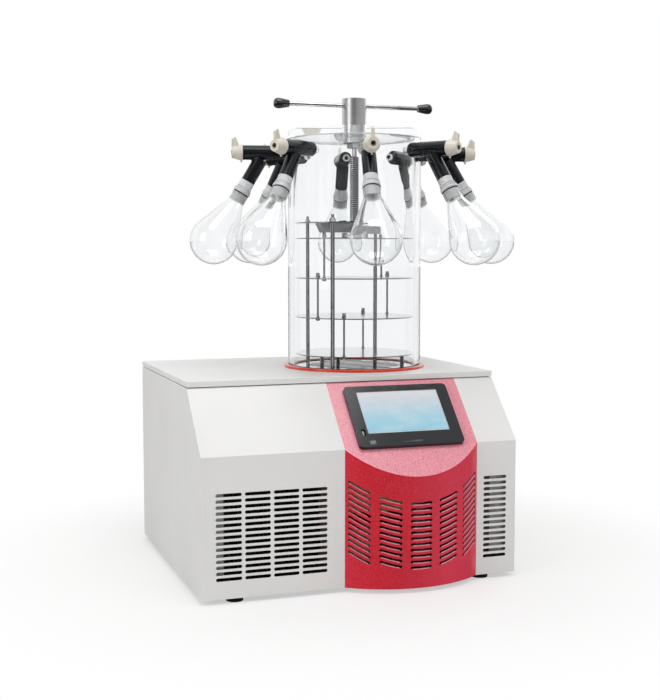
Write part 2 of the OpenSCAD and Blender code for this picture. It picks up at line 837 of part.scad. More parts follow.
module back_panel() {
  x1 = x_left + sheet_t + seat_gap;
  side_in = 50;
  rows = 12;
  z_high_vents = z_lid - 209;
  z_low_vents = foot_h + 52;
  // left end of each vent column and the height of its lowest row
  columns = [[x_left + side_in, z_high_vents], [x_left + side_in + slot_step, z_high_vents],
    [x_left + side_in + 2 * slot_step, z_high_vents], [x_right - side_in - slot_l, z_low_vents],
    [x_right - side_in - slot_l - slot_step, z_low_vents]];
  color(white)
    difference() {
      translate([x1, y_back - sheet_t, foot_h])
        cube([cab_w - 2 * (sheet_t + seat_gap), sheet_t, z_lid - sheet_t - seat_gap - foot_h]);
      // vents
      for (c = columns, r = [0 : rows - 1])
        translate([c[0], y_back - 1, c[1] + r * slot_pitch]) slot(slot_l, slot_h, 4 * sheet_t);
      // openings for pipes, inlet and switch
      translate([chamber_x, y_back + 5, vac_z]) rotate([90, 0, 0])
        cylinder(r = vac_bore_r + vac_wall + seat_gap, h = 20);
      translate([chamber_x, y_back + 5, drain_z]) rotate([90, 0, 0]) cylinder(r = drain_r + seat_gap, h = 20);
      translate([inlet_x1 - inlet_w / 2, y_back - 10, inlet_z - inlet_h / 2]) cube([inlet_w, 20, inlet_h]);
      translate([switch_x1 - switch_w / 2, y_back - 10, inlet_z - switch_h / 2]) cube([switch_w, 20, switch_h]);
    }
}

module worktop() {
  color(white)
    difference() {
      union() {
        translate([x_left, y_slant - worktop_over, z_lid + shadow_gap])
          cube([cab_w, y_back - y_slant + worktop_over, worktop_t - shadow_gap]);
        translate([x_left + shadow_in, y_slant + shadow_in - 4, z_lid])
          cube([cab_w - 2 * shadow_in, y_back - y_slant - 2 * shadow_in + 4, shadow_gap + e]);
      }
      on_axis(z_lid - 1) cylinder(r = trap_out_r + seat_gap, h = worktop_t + 2, $fn = 128);
      on_axis(cab_h - trap_flange_t) cylinder(r = trap_flange_r + seat_gap, h = worktop_t, $fn = 128);
    }
}

// ---------- touch screen ----------

// rounded rectangle in the slant plane, centred, from y0 (outward) by depth
module slant_block(w, h, r, out, depth) {
  on_slant() translate([red_mid, -out, hmi_v + hmi_h / 2]) rotate([-90, 0, 0])
    linear_extrude(height = depth) {
      square([w - 2 * r, h], center = true);
      square([w, h - 2 * r], center = true);
      for (sx = [-1, 1], sy = [-1, 1]) translate([sx * (w / 2 - r), sy * (h / 2 - r)]) circle(r = r, $fn = 32);
    }
}

module hmi_bezel() {
  color(black)
    difference() {
      union() {
        slant_block(hmi_w, hmi_h, hmi_r, hmi_t, hmi_t);
        on_slant() translate([red_mid - hmi_w / 2 + hmi_rim + hmi_gap, -e, hmi_v + hmi_rim + hmi_gap])
          cube([hmi_w - 2 * (hmi_rim + hmi_gap), hmi_body_d, hmi_h - 2 * (hmi_rim + hmi_gap)]);
      }
      // seat of the screen
      on_slant() translate([red_mid - screen_w / 2, -hmi_t - 1, hmi_v + (hmi_h - screen_h) / 2 + screen_up])
        cube([screen_w, 1 + screen_in + screen_t, screen_h]);
      // socket for a memory stick, low on the left
      on_slant() translate([red_mid - hmi_w / 2 + 10, -hmi_t - 1, hmi_v + 24]) cube([7, 9, 14]);
    }
}

module hmi_screen() {
  color([0.55, 0.75, 0.90])
    on_slant() translate([red_mid - screen_w / 2 + seat_gap, -hmi_t + screen_in,
        hmi_v + (hmi_h - screen_h) / 2 + screen_up + seat_gap])
      cube([screen_w - 2 * seat_gap, screen_t, screen_h - 2 * seat_gap]);
}

// ---------- cold trap ----------

module trap_well() {
  color(steel)
    on_axis() difference() {
      union() {
        translate([0, 0, z_trap - trap_wall]) cylinder(r = trap_out_r, h = trap_depth + trap_wall, $fn = 128);
        translate([0, 0, cab_h - trap_flange_t]) cylinder(r = trap_flange_r, h = trap_flange_t, $fn = 128);
      }
      translate([0, 0, z_trap]) cylinder(r = trap_r, h = trap_depth + 1, $fn = 128);
      translate([0, 0, z_trap - 5]) cylinder(r = drain_bore_r, h = 10);
      translate([0, 0, vac_z]) rotate([-90, 0, 0]) cylinder(r = vac_bore_r, h = trap_out_r + 5);
    }
}

module trap_foam() {
  color([0.85, 0.80, 0.60])
    difference() {
      on_axis(z_foam) cylinder(r = foam_r, h = z_lid - z_foam, $fn = 128);
      on_axis(z_trap - trap_wall) cylinder(r = foam_in_r, h = trap_depth, $fn = 128);
      on_axis(z_foam - 1) cylinder(r = drain_r + seat_gap, h = foam_floor + 2);
      on_axis(vac_z) rotate([-90, 0, 0]) cylinder(r = vac_bore_r + vac_wall + seat_gap, h = foam_r + 5);
      on_axis(z_coil) rotate([0, -90, 0]) cylinder(r = coil_r + seat_gap, h = foam_r + 5);
      on_axis(z_coil_top) rotate([0, -90, 0]) cylinder(r = capillary_r + seat_gap, h = foam_r + 5);
    }
}

// copper coil around the trap, its suction line, capillary and hot gas line
module evaporator_coil() {
  xr = chamber_x - coil_mid_r;
  x_cap = condenser_x + cond_w / 2 + 9;
  y_mid = y_cond + cond_t / 2;
  x_hot = condenser_x - cond_w / 2 - 9;
  color([0.78, 0.45, 0.28]) {
    for (i = [0 : coil_turns - 1])
      on_axis(z_coil + i * coil_pitch) rotate_extrude($fn = 96) translate([coil_mid_r, 0]) circle(r = coil_r, $fn = 24);
    pipe([xr, chamber_y, z_coil], [xr, chamber_y, z_coil_top], coil_r);
    pipe_run([[xr, chamber_y, z_coil], [compressor_x, chamber_y, z_coil], [compressor_x, compressor_y - comp_r + 0.5, z_coil]], coil_r);
    pipe_run([[condenser_x + cond_w / 2, y_mid, z_fan + 60], [x_cap, y_mid, z_fan + 60], [x_cap, y_mid, z_coil_top],
      [x_cap, chamber_y, z_coil_top], [xr, chamber_y, z_coil_top]], capillary_r);
  }
  color([0.78, 0.45, 0.28])
    pipe_run([[compressor_x - comp_r + 0.5, compressor_y, 60], [x_hot, compressor_y, 60], [x_hot, y_mid, 60],
      [condenser_x - cond_w / 2, y_mid, 60]], coil_r);
}

// ---------- refrigeration and control ----------

module compressor() {
  z1 = z_tray + comp_foot_h;
  color(black)
    difference() {
      translate([compressor_x, compressor_y, 0]) {
        translate([-comp_r - 2, -comp_r - 2, z1]) cube([2 * comp_r + 4, 2 * comp_r + 4, 3]);
        for (sx = [-1, 1], sy = [-1, 1]) translate([sx * (comp_r - 10), sy * (comp_r - 10), z_tray])
          cylinder(r = 9, h = comp_foot_h + e);
        translate([0, 0, z1 + comp_h + 2]) rotate([180, 0, 0]) round_bar(comp_r, comp_h, comp_round);
      }
      // seats of the two pipes
      pipe([compressor_x, chamber_y, z_coil], [compressor_x, compressor_y - comp_r + 0.5 + seat_gap, z_coil], coil_r + seat_gap);
      pipe([compressor_x - comp_r - 60, compressor_y, 60], [compressor_x - comp_r + 0.5 + seat_gap, compressor_y, 60], coil_r + seat_gap);
    }
}

module condenser() {
  fins = 23;
  color([0.60, 0.62, 0.63]) translate([condenser_x - cond_w / 2, y_cond, z_tray]) {
    cube([2, cond_t, cond_h + 8]);
    translate([cond_w - 2, 0, 0]) cube([2, cond_t, cond_h + 8]);
    translate([1, 4, 4]) cube([cond_w - 2, cond_t - 8, cond_h]);
    for (i = [0 : fins - 1]) translate([7 + i * (cond_w - 15) / (fins - 1), 0, 4]) cube([1, cond_t, cond_h]);
  }
}

module fan_frame() {
  w = cond_w - 14;
  color(steel) {
    difference() {
      translate([condenser_x - w / 2, y_fan, z_tray]) cube([w, 2, cond_h + 4]);
      translate([condenser_x, y_fan - 1, z_fan]) rotate([-90, 0, 0]) cylinder(r = fan_r + fan_gap, h = 4);
    }
    // bracket and motor
    for (s = [-1, 1]) translate([condenser_x + s * (w / 2 - 4) - 2, y_fan + 1, z_fan - 8]) cube([4, fan_t + 16, 16]);
    difference() {
      union() {
        translate([condenser_x - w / 2 + 2, y_fan + fan_t + 13, z_fan - 8]) cube([w - 4, 4, 16]);
        translate([condenser_x, y_fan + fan_t + 8, z_fan]) rotate([-90, 0, 0]) cylinder(r = motor_r, h = motor_l);
      }
      translate([condenser_x, y_fan + fan_t, z_fan]) rotate([-90, 0, 0])
        cylinder(r = fan_shaft_r + run_gap, h = 26);
    }
  }
}

module fan_rotor() {
  color(black)
    translate([condenser_x, y_fan + 5, z_fan]) rotate([-90, 0, 0]) {
      cylinder(r = 18, h = fan_t);
      cylinder(r = fan_shaft_r, h = fan_t + 20);
      for (i = [0 : fan_blades - 1]) rotate([0, 0, i * 360 / fan_blades])
        intersection() {
          translate([10, 0, fan_t / 2]) rotate([35, 0, 0]) translate([0, -24, -0.8]) cube([fan_r - 10, 48, 1.6]);
          cylinder(r = fan_r, h = fan_t);
        }
    }
}

module controller_box() {
  color([0.25, 0.27, 0.30])
    translate([x_right - ctrl_in - ctrl_w, chamber_y - ctrl_front, z_tray]) difference() {
      cube([ctrl_w, ctrl_d, ctrl_h]);
      for (i = [0 : ctrl_vents - 1])
        translate([-1, (i + 1) * ctrl_d / (ctrl_vents + 1) - ctrl_vent_w / 2, ctrl_h * 0.55])
          cube([4, ctrl_vent_w, ctrl_h * 0.35]);
    }
}

module vacuum_port() {
  y1 = chamber_y + trap_r;
  r = vac_bore_r + vac_wall;
  color(steel)
    difference() {
      union() {
        translate([chamber_x, y1, vac_z]) rotate([-90, 0, 0]) cylinder(r = r, h = y_back + vac_out - y1);
        translate([chamber_x, y_back, vac_z]) rotate([-90, 0, 0]) cylinder(r = vac_flange_r + 3, h = 4);
        // clamp flange with its tapered back
        translate([chamber_x, y_back + vac_out - 7, vac_z]) rotate([-90, 0, 0])
          cylinder(r1 = r, r2 = vac_flange_r, h = 4);
        translate([chamber_x, y_back + vac_out - 3 - e, vac_z]) rotate([-90, 0, 0])
          cylinder(r = vac_flange_r, h = 3 + e);
      }
      translate([chamber_x, y1 - 1, vac_z]) rotate([-90, 0, 0]) cylinder(r = vac_bore_r, h = cab_d);
      on_axis(vac_z - 2 * r) cylinder(r = trap_out_r + 0.02, h = 4 * r, $fn = 128);
    }
}

valve_y = y_back + drain_valve_at;
lever_tip_r = 5;
lever_l = drain_out - drain_valve_at - lever_tip_r;

module drain_valve() {
  color([0.75, 0.62, 0.32])
    difference() {
      union() {
        pipe_run([[chamber_x, chamber_y, z_trap - trap_wall], [chamber_x, chamber_y, drain_z],
          [chamber_x, y_back + drain_out - 14, drain_z]], drain_r);
        translate([chamber_x, y_back, drain_z]) rotate([-90, 0, 0]) hex(24, 6);
        translate([chamber_x - 13, valve_y - 9, drain_z - 12]) cube([26, 20, 24]);
        translate([chamber_x, valve_y, drain_z + 11]) cylinder(r = 7, h = 7);
        // hose nozzle
        translate([chamber_x, y_back + drain_out - 20, drain_z]) rotate([-90, 0, 0]) {
          cylinder(r = 5.2, h = 20);
          for (i = [0 : 3]) translate([0, 0, 5 + i * 4]) cylinder(r1 = 6.2, r2 = 5, h = 3.5);
        }
      }
      pipe([chamber_x, chamber_y, z_trap + 5], [chamber_x, chamber_y, drain_z], drain_bore_r);
      pipe([chamber_x, chamber_y, drain_z], [chamber_x, y_back + drain_out + 5, drain_z], drain_bore_r);
      // bore of the lever's stem
      translate([chamber_x, valve_y, drain_z + 6]) cylinder(r = 3 + run_gap, h = 20);
    }
}

module drain_lever() {
  color([0.75, 0.10, 0.10])
    translate([chamber_x, valve_y, 0]) {
      translate([0, 0, drain_z + 6.3]) cylinder(r = 3, h = 16);
      translate([0, 0, drain_z + 18.3]) cylinder(r = 7, h = 4);
      translate([-lever_tip_r, 0, drain_z + 19.3]) cube([2 * lever_tip_r, lever_l, 3]);
      translate([0, lever_l, drain_z + 19.3]) cylinder(r = lever_tip_r, h = 3);
    }
}

module power_inlet() {
  ear = 11;
  depth = 22;
  color(black) {
    // inlet with three pins
    difference() {
      union() {
        translate([inlet_x1 - inlet_w / 2 - ear, y_back, inlet_z - inlet_h / 2 - 1])
          cube([inlet_w + 2 * ear, 3, inlet_h + 2]);
        translate([inlet_x1 - inlet_w / 2 + seat_gap, y_back - depth, inlet_z - inlet_h / 2 + seat_gap])
          cube([inlet_w - 2 * seat_gap, depth + e, inlet_h - 2 * seat_gap]);
      }
      translate([inlet_x1 - inlet_w / 2 + 2, y_back - depth + 5, inlet_z - inlet_h / 2 + 3])
        cube([inlet_w - 4, depth + 8, inlet_h - 6]);
    }
    for (s = [-1, 0, 1]) translate([inlet_x1 + s * 7 - 1, y_back - depth + 4, inlet_z - 2 + (s == 0 ? 3 : -1)])
      cube([2, 17, 4]);
    // frame of the rocker switch
    difference() {
      union() {
        translate([switch_x1 - switch_w / 2 - 2, y_back, inlet_z - switch_h / 2 - 2])
          cube([switch_w + 4, 2, switch_h + 4]);
        translate([switch_x1 - switch_w / 2 + seat_gap, y_back - 24, inlet_z - switch_h / 2 + seat_gap])
          cube([switch_w - 2 * seat_gap, 24 + e, switch_h - 2 * seat_gap]);
      }
      translate([switch_x1 - switch_w / 2 + 2, y_back - 20, inlet_z - switch_h / 2 + 2])
        cube([switch_w - 4, 30, switch_h - 4]);
      translate([switch_x1 - 12, y_back - 5, inlet_z]) rotate([0, 90, 0])
        cylinder(r = 2 + run_gap, h = 24, $fn = 32);
    }
  }
}

module power_switch() {
  // rocker, resting with its lower half pressed
  color([0.70, 0.08, 0.08])
    translate([switch_x1, y_back - 5, inlet_z]) rotate([-switch_turn / 2, 0, 0]) {
      difference() {
        rotate([0, 90, 0]) translate([0, 0, -8.4]) cylinder(r = 10.5, h = 16.8);
        translate([-10, -30, -20]) cube([20, 26, 40]);
        for (s = [-1, 1]) rotate([s * -8, 0, 0]) translate([-10, 6, -20]) cube([20, 20, 40]);
      }
      rotate([0, 90, 0]) translate([0, 0, -10.5]) cylinder(r = 2, h = 21, $fn = 32);
    }
}

// ---------- chamber ----------

module gasket_ring() {
  color([0.85, 0.10, 0.05])
    on_axis(cab_h) rotate_extrude($fn = 128) difference() {
      translate([gasket_in_r, 0]) square([gasket_r - gasket_in_r, gasket_t]);
      translate([gasket_r - 2, gasket_t - 2]) difference() {
        square(3);
        circle(r = 2, $fn = 24);
      }
    }
}

module port_frame(i) {
  on_axis(z_port) rotate([0, 0, port_a + i * 360 / ports]) children();
}

module chamber_tube() {
  color(clear)
    difference() {
      on_axis(z_tube) difference() {
        cylinder(r = tube_r, h = tube_h, $fn = 128);
        translate([0, 0, -1]) cylinder(r = tube_r - tube_wall, h = tube_h + 2, $fn = 128);
      }
      for (i = [0 : ports - 1]) port_frame(i) translate([tube_r - tube_wall - 5, 0, 0]) rotate([0, 90, 0])
        cylinder(r = nipple_r + seat_gap, h = tube_wall + 10);
    }
}

module lid_seal() {
  color([0.85, 0.87, 0.88])
    on_axis(z_seal) difference() {
      cylinder(r = tube_r - 1.5, h = seal_t, $fn = 128);
      translate([0, 0, -1]) cylinder(r = tube_r - 1.5 - seal_w, h = seal_t + 2, $fn = 128);
    }
}

module chamber_lid() {
  color(clear)
    on_axis(z_cover) difference() {
      cylinder(r = tube_r, h = lid_t, $fn = 128);
      translate([0, 0, -1]) cylinder(r = gland_r + seat_gap, h = lid_t + 2);
    }
}

module gland() {
  color(steel)
    on_axis() difference() {
      union() {
        translate([0, 0, z_cover]) cylinder(r = gland_r, h = lid_t + gland_up);
        translate([0, 0, z_cover - collar_t]) cylinder(r = collar_r, h = collar_t);
        translate([0, 0, z_cover - collar_t - gland_nut_t - 0.5]) cylinder(r = tail_r, h = gland_nut_t + 1);
      }
      translate([0, 0, z_cover - 50]) cylinder(r = shaft_r + run_gap, h = 100);
    }
}

module gland_nut() {
  color(steel)
    on_axis(z_cover - collar_t - gland_nut_t) difference() {
      hex(gland_nut_w, gland_nut_t);
      translate([0, 0, -1]) cylinder(r = tail_r + seat_gap, h = gland_nut_t + 2);
    }
}

module handle_hub() {
  color(steel)
    on_axis(z_hub) difference() {
      union() {
        cylinder(r = hub_r, h = hub_h - 1);
        translate([0, 0, hub_h - 1 - e]) cylinder(r1 = hub_r, r2 = hub_r - 1, h = 1 + e);
      }
      translate([-hub_r - 5, 0, bar_up]) rotate([0, 90, 0]) cylinder(r = bar_r + seat_gap, h = 2 * hub_r + 10);
      translate([0, 0, -1]) cylinder(r = shaft_r + seat_gap, h = bar_up - bar_r - 5);
    }
}

module handle_bar() {
  color([0.8, 0.8, 0.82])
    on_axis(z_hub + bar_up) rotate([0, 90, 0]) translate([0, 0, -bar_half]) cylinder(r = bar_r, h = 2 * bar_half);
}

module bar_caps() {
  color(black)
    for (s = [0, 180]) on_axis(z_hub + bar_up) rotate([0, 0, s]) rotate([0, 90, 0])
      translate([0, 0, bar_half - cap_l + cap_over]) difference() {
        rotate_extrude() {
          polygon([[0, 0], [cap_r, 0], [cap_end_r, cap_l - 12], [cap_end_r, cap_l - 8], [0, cap_l - 8]]);
          intersection() {
            translate([0, cap_l - 9]) square([cap_end_r, 9]);
            union() {
              translate([cap_end_r - 8, cap_l - 8]) circle(r = 8, $fn = 32);
              translate([0, cap_l - 9]) square([cap_end_r - 8, 9]);
            }
          }
        }
        translate([0, 0, -1]) cylinder(r = bar_r + seat_gap, h = 1 + cap_l - cap_over + seat_gap);
      }
}

module drive_shaft() {
  color(steel)
    on_axis() {
      translate([0, 0, z_screw_top - 2]) cylinder(r = shaft_r, h = z_hub + bar_up - bar_r - 6.2 - z_screw_top + 2);
      translate([0, 0, z_screw_top - shaft_in]) cylinder(r = shaft_hex_r, h = shaft_in, $fn = 6);
    }
}

// ---------- screw press and rack ----------

module lead_screw() {
  root_r = screw_r - thread_d;
  n = floor((screw_l - 4) / thread_pitch);
  bore_r = shaft_hex_r + shaft_hex_gap;
  z_foot = z_pad_top - pad_h + 1.3;
  color(steel)
    on_axis() difference() {
      union() {
        translate([0, 0, z_pad_top + 0.3]) cylinder(r = root_r, h = screw_l - 0.3);
        translate([0, 0, z_foot]) cylinder(r = screw_foot_r, h = screw_foot_t);
        translate([0, 0, z_foot]) cylinder(r = screw_neck_r, h = pad_h);
        translate([0, 0, z_pad_top + 0.3]) cylinder(r = screw_r, h = 1.5);
        rotate_extrude() for (i = [0 : n - 1])
          translate([0, z_screw_top - 2 - i * thread_pitch]) polygon([[root_r - 1, -thread_pitch * 0.4],
            [root_r, -thread_pitch * 0.4], [screw_r, -thread_pitch * 0.18], [screw_r, thread_pitch * 0.18],
            [root_r, thread_pitch * 0.4], [root_r - 1, thread_pitch * 0.4]]);
      }
      translate([0, 0, z_screw_top - shaft_in - 2]) cylinder(r = bore_r, h = shaft_in + 4, $fn = 6);
      translate([0, 0, z_screw_top - 3]) cylinder(r = shaft_r + 0.5, h = 5);
    }
}

module thrust_pad() {
  z_foot = pad_h - 8.7;
  color(steel)
    on_axis(z_pad) difference() {
      cylinder(r = pad_r, h = pad_h);
      translate([0, 0, 1]) cylinder(r = screw_foot_r + 0.4, h = screw_foot_t + 0.6);
      translate([0, 0, 1]) cylinder(r = screw_neck_r + run_gap, h = pad_h);
      // two grease pockets
      for (s = [-1, 1]) translate([s * 19 - 4, -pad_r - 1, 3]) cube([8, 2 * pad_r + 2, 4]);
    }
}

module shelf_blank(r, t) {
  difference() {
    cylinder(r = r, h = t, $fn = 128);
    for (a = [post_left_a, post_front_a, post_right_a]) rotate([0, 0, a]) {
      translate([post_circle, 0, -1]) cylinder(r = post_r + slide_gap, h = t + 2, $fn = 32);
      translate([post_circle, -post_r - slide_gap, -1]) cube([20, 2 * (post_r + slide_gap), t + 2]);
    }
  }
}

module rod_holes(a, r, t) {
  for (k = [0, 180]) rotate([0, 0, a + k]) translate([rod_circle, 0, -1]) cylinder(r = r, h = t + 2, $fn = 32);
}

module press_plate() {
  color(steel)
    on_axis(z_a) difference() {
      shelf_blank(shelf_r, shelf_t);
      rod_holes(rod_ab_a, rod_r + slide_gap, shelf_t);
    }
}

module shelf_b() {
  color(steel)
    on_axis(z_b) difference() {
      shelf_blank(shelf_r, shelf_t);
      rod_holes(rod_ab_a, rod_r + seat_gap, shelf_t);
      rod_holes(rod_bc_a, rod_r + slide_gap, shelf_t);
    }
}

module shelf_c() {
  color(steel)
    on_axis(z_c) difference() {
      shelf_blank(shelf_r, shelf_t);
      rod_holes(rod_bc_a, rod_r + seat_gap, shelf_t);
      rod_holes(rod_cd_a, rod_r + slide_gap, shelf_t);
    }
}

module shelf_d() {
  color(steel)
    on_axis(z_d) difference() {
      shelf_blank(shelf_r, shelf_t);
      rod_holes(rod_cd_a, rod_r + seat_gap, shelf_t);
    }
}

// two lift rods, fixed in the shelf at z_low, with heads above the shelf at z_high
module lift_rods(a, z_low, z_high) {
  top = z_high + shelf_t;
  color(steel)
    for (k = [0, 180]) on_axis() rotate([0, 0, a + k]) translate([rod_circle, 0, 0]) difference() {
      union() {
        translate([0, 0, z_low - 4]) cylinder(r = rod_r, h = top + rod_head_h - z_low + 4, $fn = 32);
        translate([0, 0, z_low - 3]) cylinder(r = rod_nut_r, h = 3, $fn = 32);
        translate([0, 0, z_low + shelf_t]) cylinder(r = rod_nut_r - 1, h = 2, $fn = 32);
        translate([0, 0, top + 0.3]) hex(2 * rod_nut_r * cos(30), rod_nut_t);
        translate([0, 0, top + 0.3 + rod_nut_t]) cylinder(r = rod_nut_r - 0.8, h = rod_head_h - rod_nut_t - 0.3, $fn = 32);
      }
      // screwdriver slot
      translate([-5, -0.6, top + rod_head_h - 1.8]) cube([10, 1.2, 3]);
    }
}

module rods_ab() { lift_rods(rod_ab_a, z_b, z_a); }

module rods_bc() { lift_rods(rod_bc_a, z_c, z_b); }

module rods_cd() { lift_rods(rod_cd_a, z_d, z_c); }

module rack_base() {
  vapour_w = 14;
  vapour_pitch = 26;
  color(steel) {
    on_axis(cab_h) difference() {
      cylinder(r = rack_base_r, h = rack_base_t, $fn = 128);
      // long vapour slots over the trap
      for (i = [-3 : 3]) {
        y = i * vapour_pitch;
        half = sqrt(pow(rack_base_r - 25, 2) - y * y);
        translate([-half, y - vapour_w / 2, -1]) cube([2 * half, vapour_w, rack_base_t + 2]);
      }
    }
    for (a = [90, 210, 330]) on_axis(z_base - e) rotate([0, 0, a]) translate([leg_circle, 0, 0])
      cylinder(r = leg_r, h = shelf_d_up + e, $fn = 32);
  }
}

module rack_posts() {
  color(steel) {
    for (a = [post_left_a, post_front_a]) on_axis(z_base) rotate([0, 0, a]) translate([post_circle, 0, 0])
      difference() {
        union() {
          cylinder(r = post_r, h = z_yoke_top - z_base, $fn = 32);
          cylinder(r = stud_r, h = z_plate_top + stud_up - z_base, $fn = 32);
        }
        translate([-5, -0.7, z_plate_top + stud_up - z_base - 2]) cube([10, 1.4, 3]);
      }
    on_axis(z_base) rotate([0, 0, post_right_a]) translate([post_circle, 0, 0]) {
      cylinder(r = post_r, h = z_yoke - z_base, $fn = 32);
      cylinder(r = stud_r, h = z_yoke_top - z_base, $fn = 32);
    }
  }
}

module post_nuts() {
  color(steel)
    for (a = [post_left_a, post_front_a]) on_axis(z_plate_top) rotate([0, 0, a]) translate([post_circle, 0, 0])
      difference() {
        union() {
          hex(post_nut_w, post_nut_t);
          translate([0, 0, post_nut_t - e]) cylinder(r = post_nut_w / 2 - 0.8, h = 3, $fn = 32);
        }
        translate([0, 0, -1]) cylinder(r = stud_r + seat_gap, h = post_nut_t + 5, $fn = 32);
      }
}

module yoke() {
  bevel_step = yoke_bevel / yoke_t;
  arm_x = screw_r + 2;
  color([0.62, 0.62, 0.61])
    on_axis(z_yoke) difference() {
      union() {
        cylinder(r = yoke_r, h = yoke_t);
        rotate([0, 0, plate_dir]) translate([arm_x, -yoke_arm_w / 2, 0])
          cube([yoke_arm_l - arm_x, yoke_arm_w, yoke_t]);
        rotate([0, 0, post_right_a]) intersection() {
          translate([arm_x, -yoke_post_w / 2, 0]) cube([shelf_r, yoke_post_w, yoke_t]);
          translate([0, 0, -1]) cylinder(r = shelf_r, h = yoke_t + 2, $fn = 128);
        }
      }
      translate([0, 0, -1]) cylinder(r = screw_r + run_gap, h = yoke_t + 2);
      rotate([0, 0, post_right_a]) translate([post_circle, 0, -1])
        cylinder(r = stud_r + seat_gap, h = yoke_t + 2, $fn = 32);
      // bevelled end of the plate arm
      rotate([0, 0, plate_dir]) translate([0, yoke_arm_w, 0]) rotate([90, 0, 0])
        linear_extrude(height = 2 * yoke_arm_w)
          polygon([[yoke_arm_l - yoke_bevel - bevel_step, -1], [yoke_arm_l + bevel_step, yoke_t + 1],
            [yoke_arm_l + 20, yoke_t + 1], [yoke_arm_l + 20, -1]]);
      // pocket in the plate arm
      rotate([0, 0, plate_dir]) translate([30, -8, -1]) cube([26, 16, yoke_t - 4]);
      // screws of the top plate
      for (s = [-1, 1]) rotate([0, 0, plate_dir]) translate([24, s * 10, 6])
        cylinder(r = 2.5 + seat_gap, h = yoke_t, $fn = 24);
    }
}

module top_plate() {
  color(steel)
    on_axis(z_yoke_top) rotate([0, 0, plate_dir]) {
      difference() {
        intersection() {
          cylinder(r = shelf_r, h = top_plate_t, $fn = 128);
          translate([16, -shelf_r, -1]) cube([shelf_r, 2 * shelf_r, top_plate_t + 2]);
        }
        for (a = [post_left_a, post_front_a]) rotate([0, 0, a - plate_dir]) translate([post_circle, 0, -1])
          cylinder(r = stud_r + seat_gap, h = top_plate_t + 2, $fn = 32);
      }
      // screws into the yoke
      for (s = [-1, 1]) translate([24, s * 10, 0]) {
        translate([0, 0, -9]) cylinder(r = 2.5, h = 10, $fn = 24);
        translate([0, 0, top_plate_t - e]) hex(8, 4);
      }
    }
}

// ---------- ports, valves and flasks ----------

module port_nipples() {
  color(steel)
    for (i = [0 : ports - 1]) port_frame(i) rotate([0, 90, 0])
      translate([0, 0, tube_r - tube_wall - nipple_in]) difference() {
        cylinder(r = nipple_r, h = nipple_in + tube_wall + nipple_out, $fn = 48);
        translate([0, 0, -1]) cylinder(r = nipple_bore_r, h = 80, $fn = 32);
      }
}

// places children at the root of the branch, +z down the branch
module branch_frame() {
  translate([tube_r + valve_gap + branch_at, 0, 0]) rotate([0, 180 - branch_lean, 0]) children();
}

module valve_bodies() {
  x1 = tube_r + valve_gap;
  color(black)
    for (i = [0 : ports - 1]) port_frame(i) difference() {
      union() {
        translate([x1, 0, 0]) rotate([0, 90, 0]) round_bar(valve_r, valve_l, valve_round);
        branch_frame() cylinder(r = branch_r, h = branch_l);
      }
      // seat of the nipple
      translate([x1 - 1, 0, 0]) rotate([0, 90, 0]) cylinder(r = nipple_r + seat_gap, h = nipple_out + 1);
      // seat of the plug and passages
      translate([x1 + valve_l - plug_l - 0.5, 0, 0]) rotate([0, 90, 0])
        cylinder(r = plug_r + run_gap, h = plug_l + 5);
      translate([x1, 0, 0]) rotate([0, 90, 0]) cylinder(r = passage_r, h = valve_l);
      branch_frame() cylinder(r = passage_r, h = branch_l + 1);
      branch_frame() translate([0, 0, branch_l - adapter_stem_l - 0.5])
        cylinder(r = adapter_stem_r + seat_gap, h = adapter_stem_l + 2);
    }
}

module valve_knob(i) {
  x1 = tube_r + valve_gap + valve_l;
  branch_x = tube_r + valve_gap + branch_at;
  color([0.92, 0.90, 0.80])
    port_frame(i) difference() {
      union() {
        translate([x1 - plug_l, 0, 0]) rotate([0, 90, 0]) cylinder(r = plug_r, h = plug_l + 1);
        translate([x1 + 0.3, 0, 0]) rotate([0, 90, 0]) cylinder(r = knob_r, h = 2);
        translate([x1 + 2.3 - e, 0, 0]) rotate([0, 90, 0])
          cylinder(r1 = knob_r, r2 = knob_end_r, h = knob_l - 2 + e);
        // wing
        translate([x1 + 0.3, wing_t / 2, 0]) rotate([90, 0, 0]) linear_extrude(height = wing_t)
          polygon([[3, 0], [6, knob_r - 2], [knob_l - 8, wing_h], [knob_l, wing_h - 5], [knob_l, 0]]);
        // pointer
        translate([x1 + 1.3, -1, -knob_r - 3.5]) cube([3, 2, knob_r]);
      }
      // vent hole and the passage through the plug
      translate([branch_x + 9, 0, 0]) rotate([0, 90, 0]) cylinder(r = vent_r, h = 200, $fn = 32);
      translate([x1 - plug_l - 1, 0, 0]) rotate([0, 90, 0])
        cylinder(r = passage_r - 1, h = branch_x - x1 + plug_l + 4, $fn = 32);
      translate([branch_x, 0, 0]) rotate([0, 180 - branch_lean, 0])
        cylinder(r = passage_r - 1.4, h = plug_r + 5, $fn = 32);
    }
}

module valve_knob_1() { valve_knob(0); }
module valve_knob_2() { valve_knob(1); }
module valve_knob_3() { valve_knob(2); }
module valve_knob_4() { valve_knob(3); }
module valve_knob_5() { valve_knob(4); }
module valve_knob_6() { valve_knob(5); }
module valve_knob_7() { valve_knob(6); }
module valve_knob_8() { valve_knob(7); }

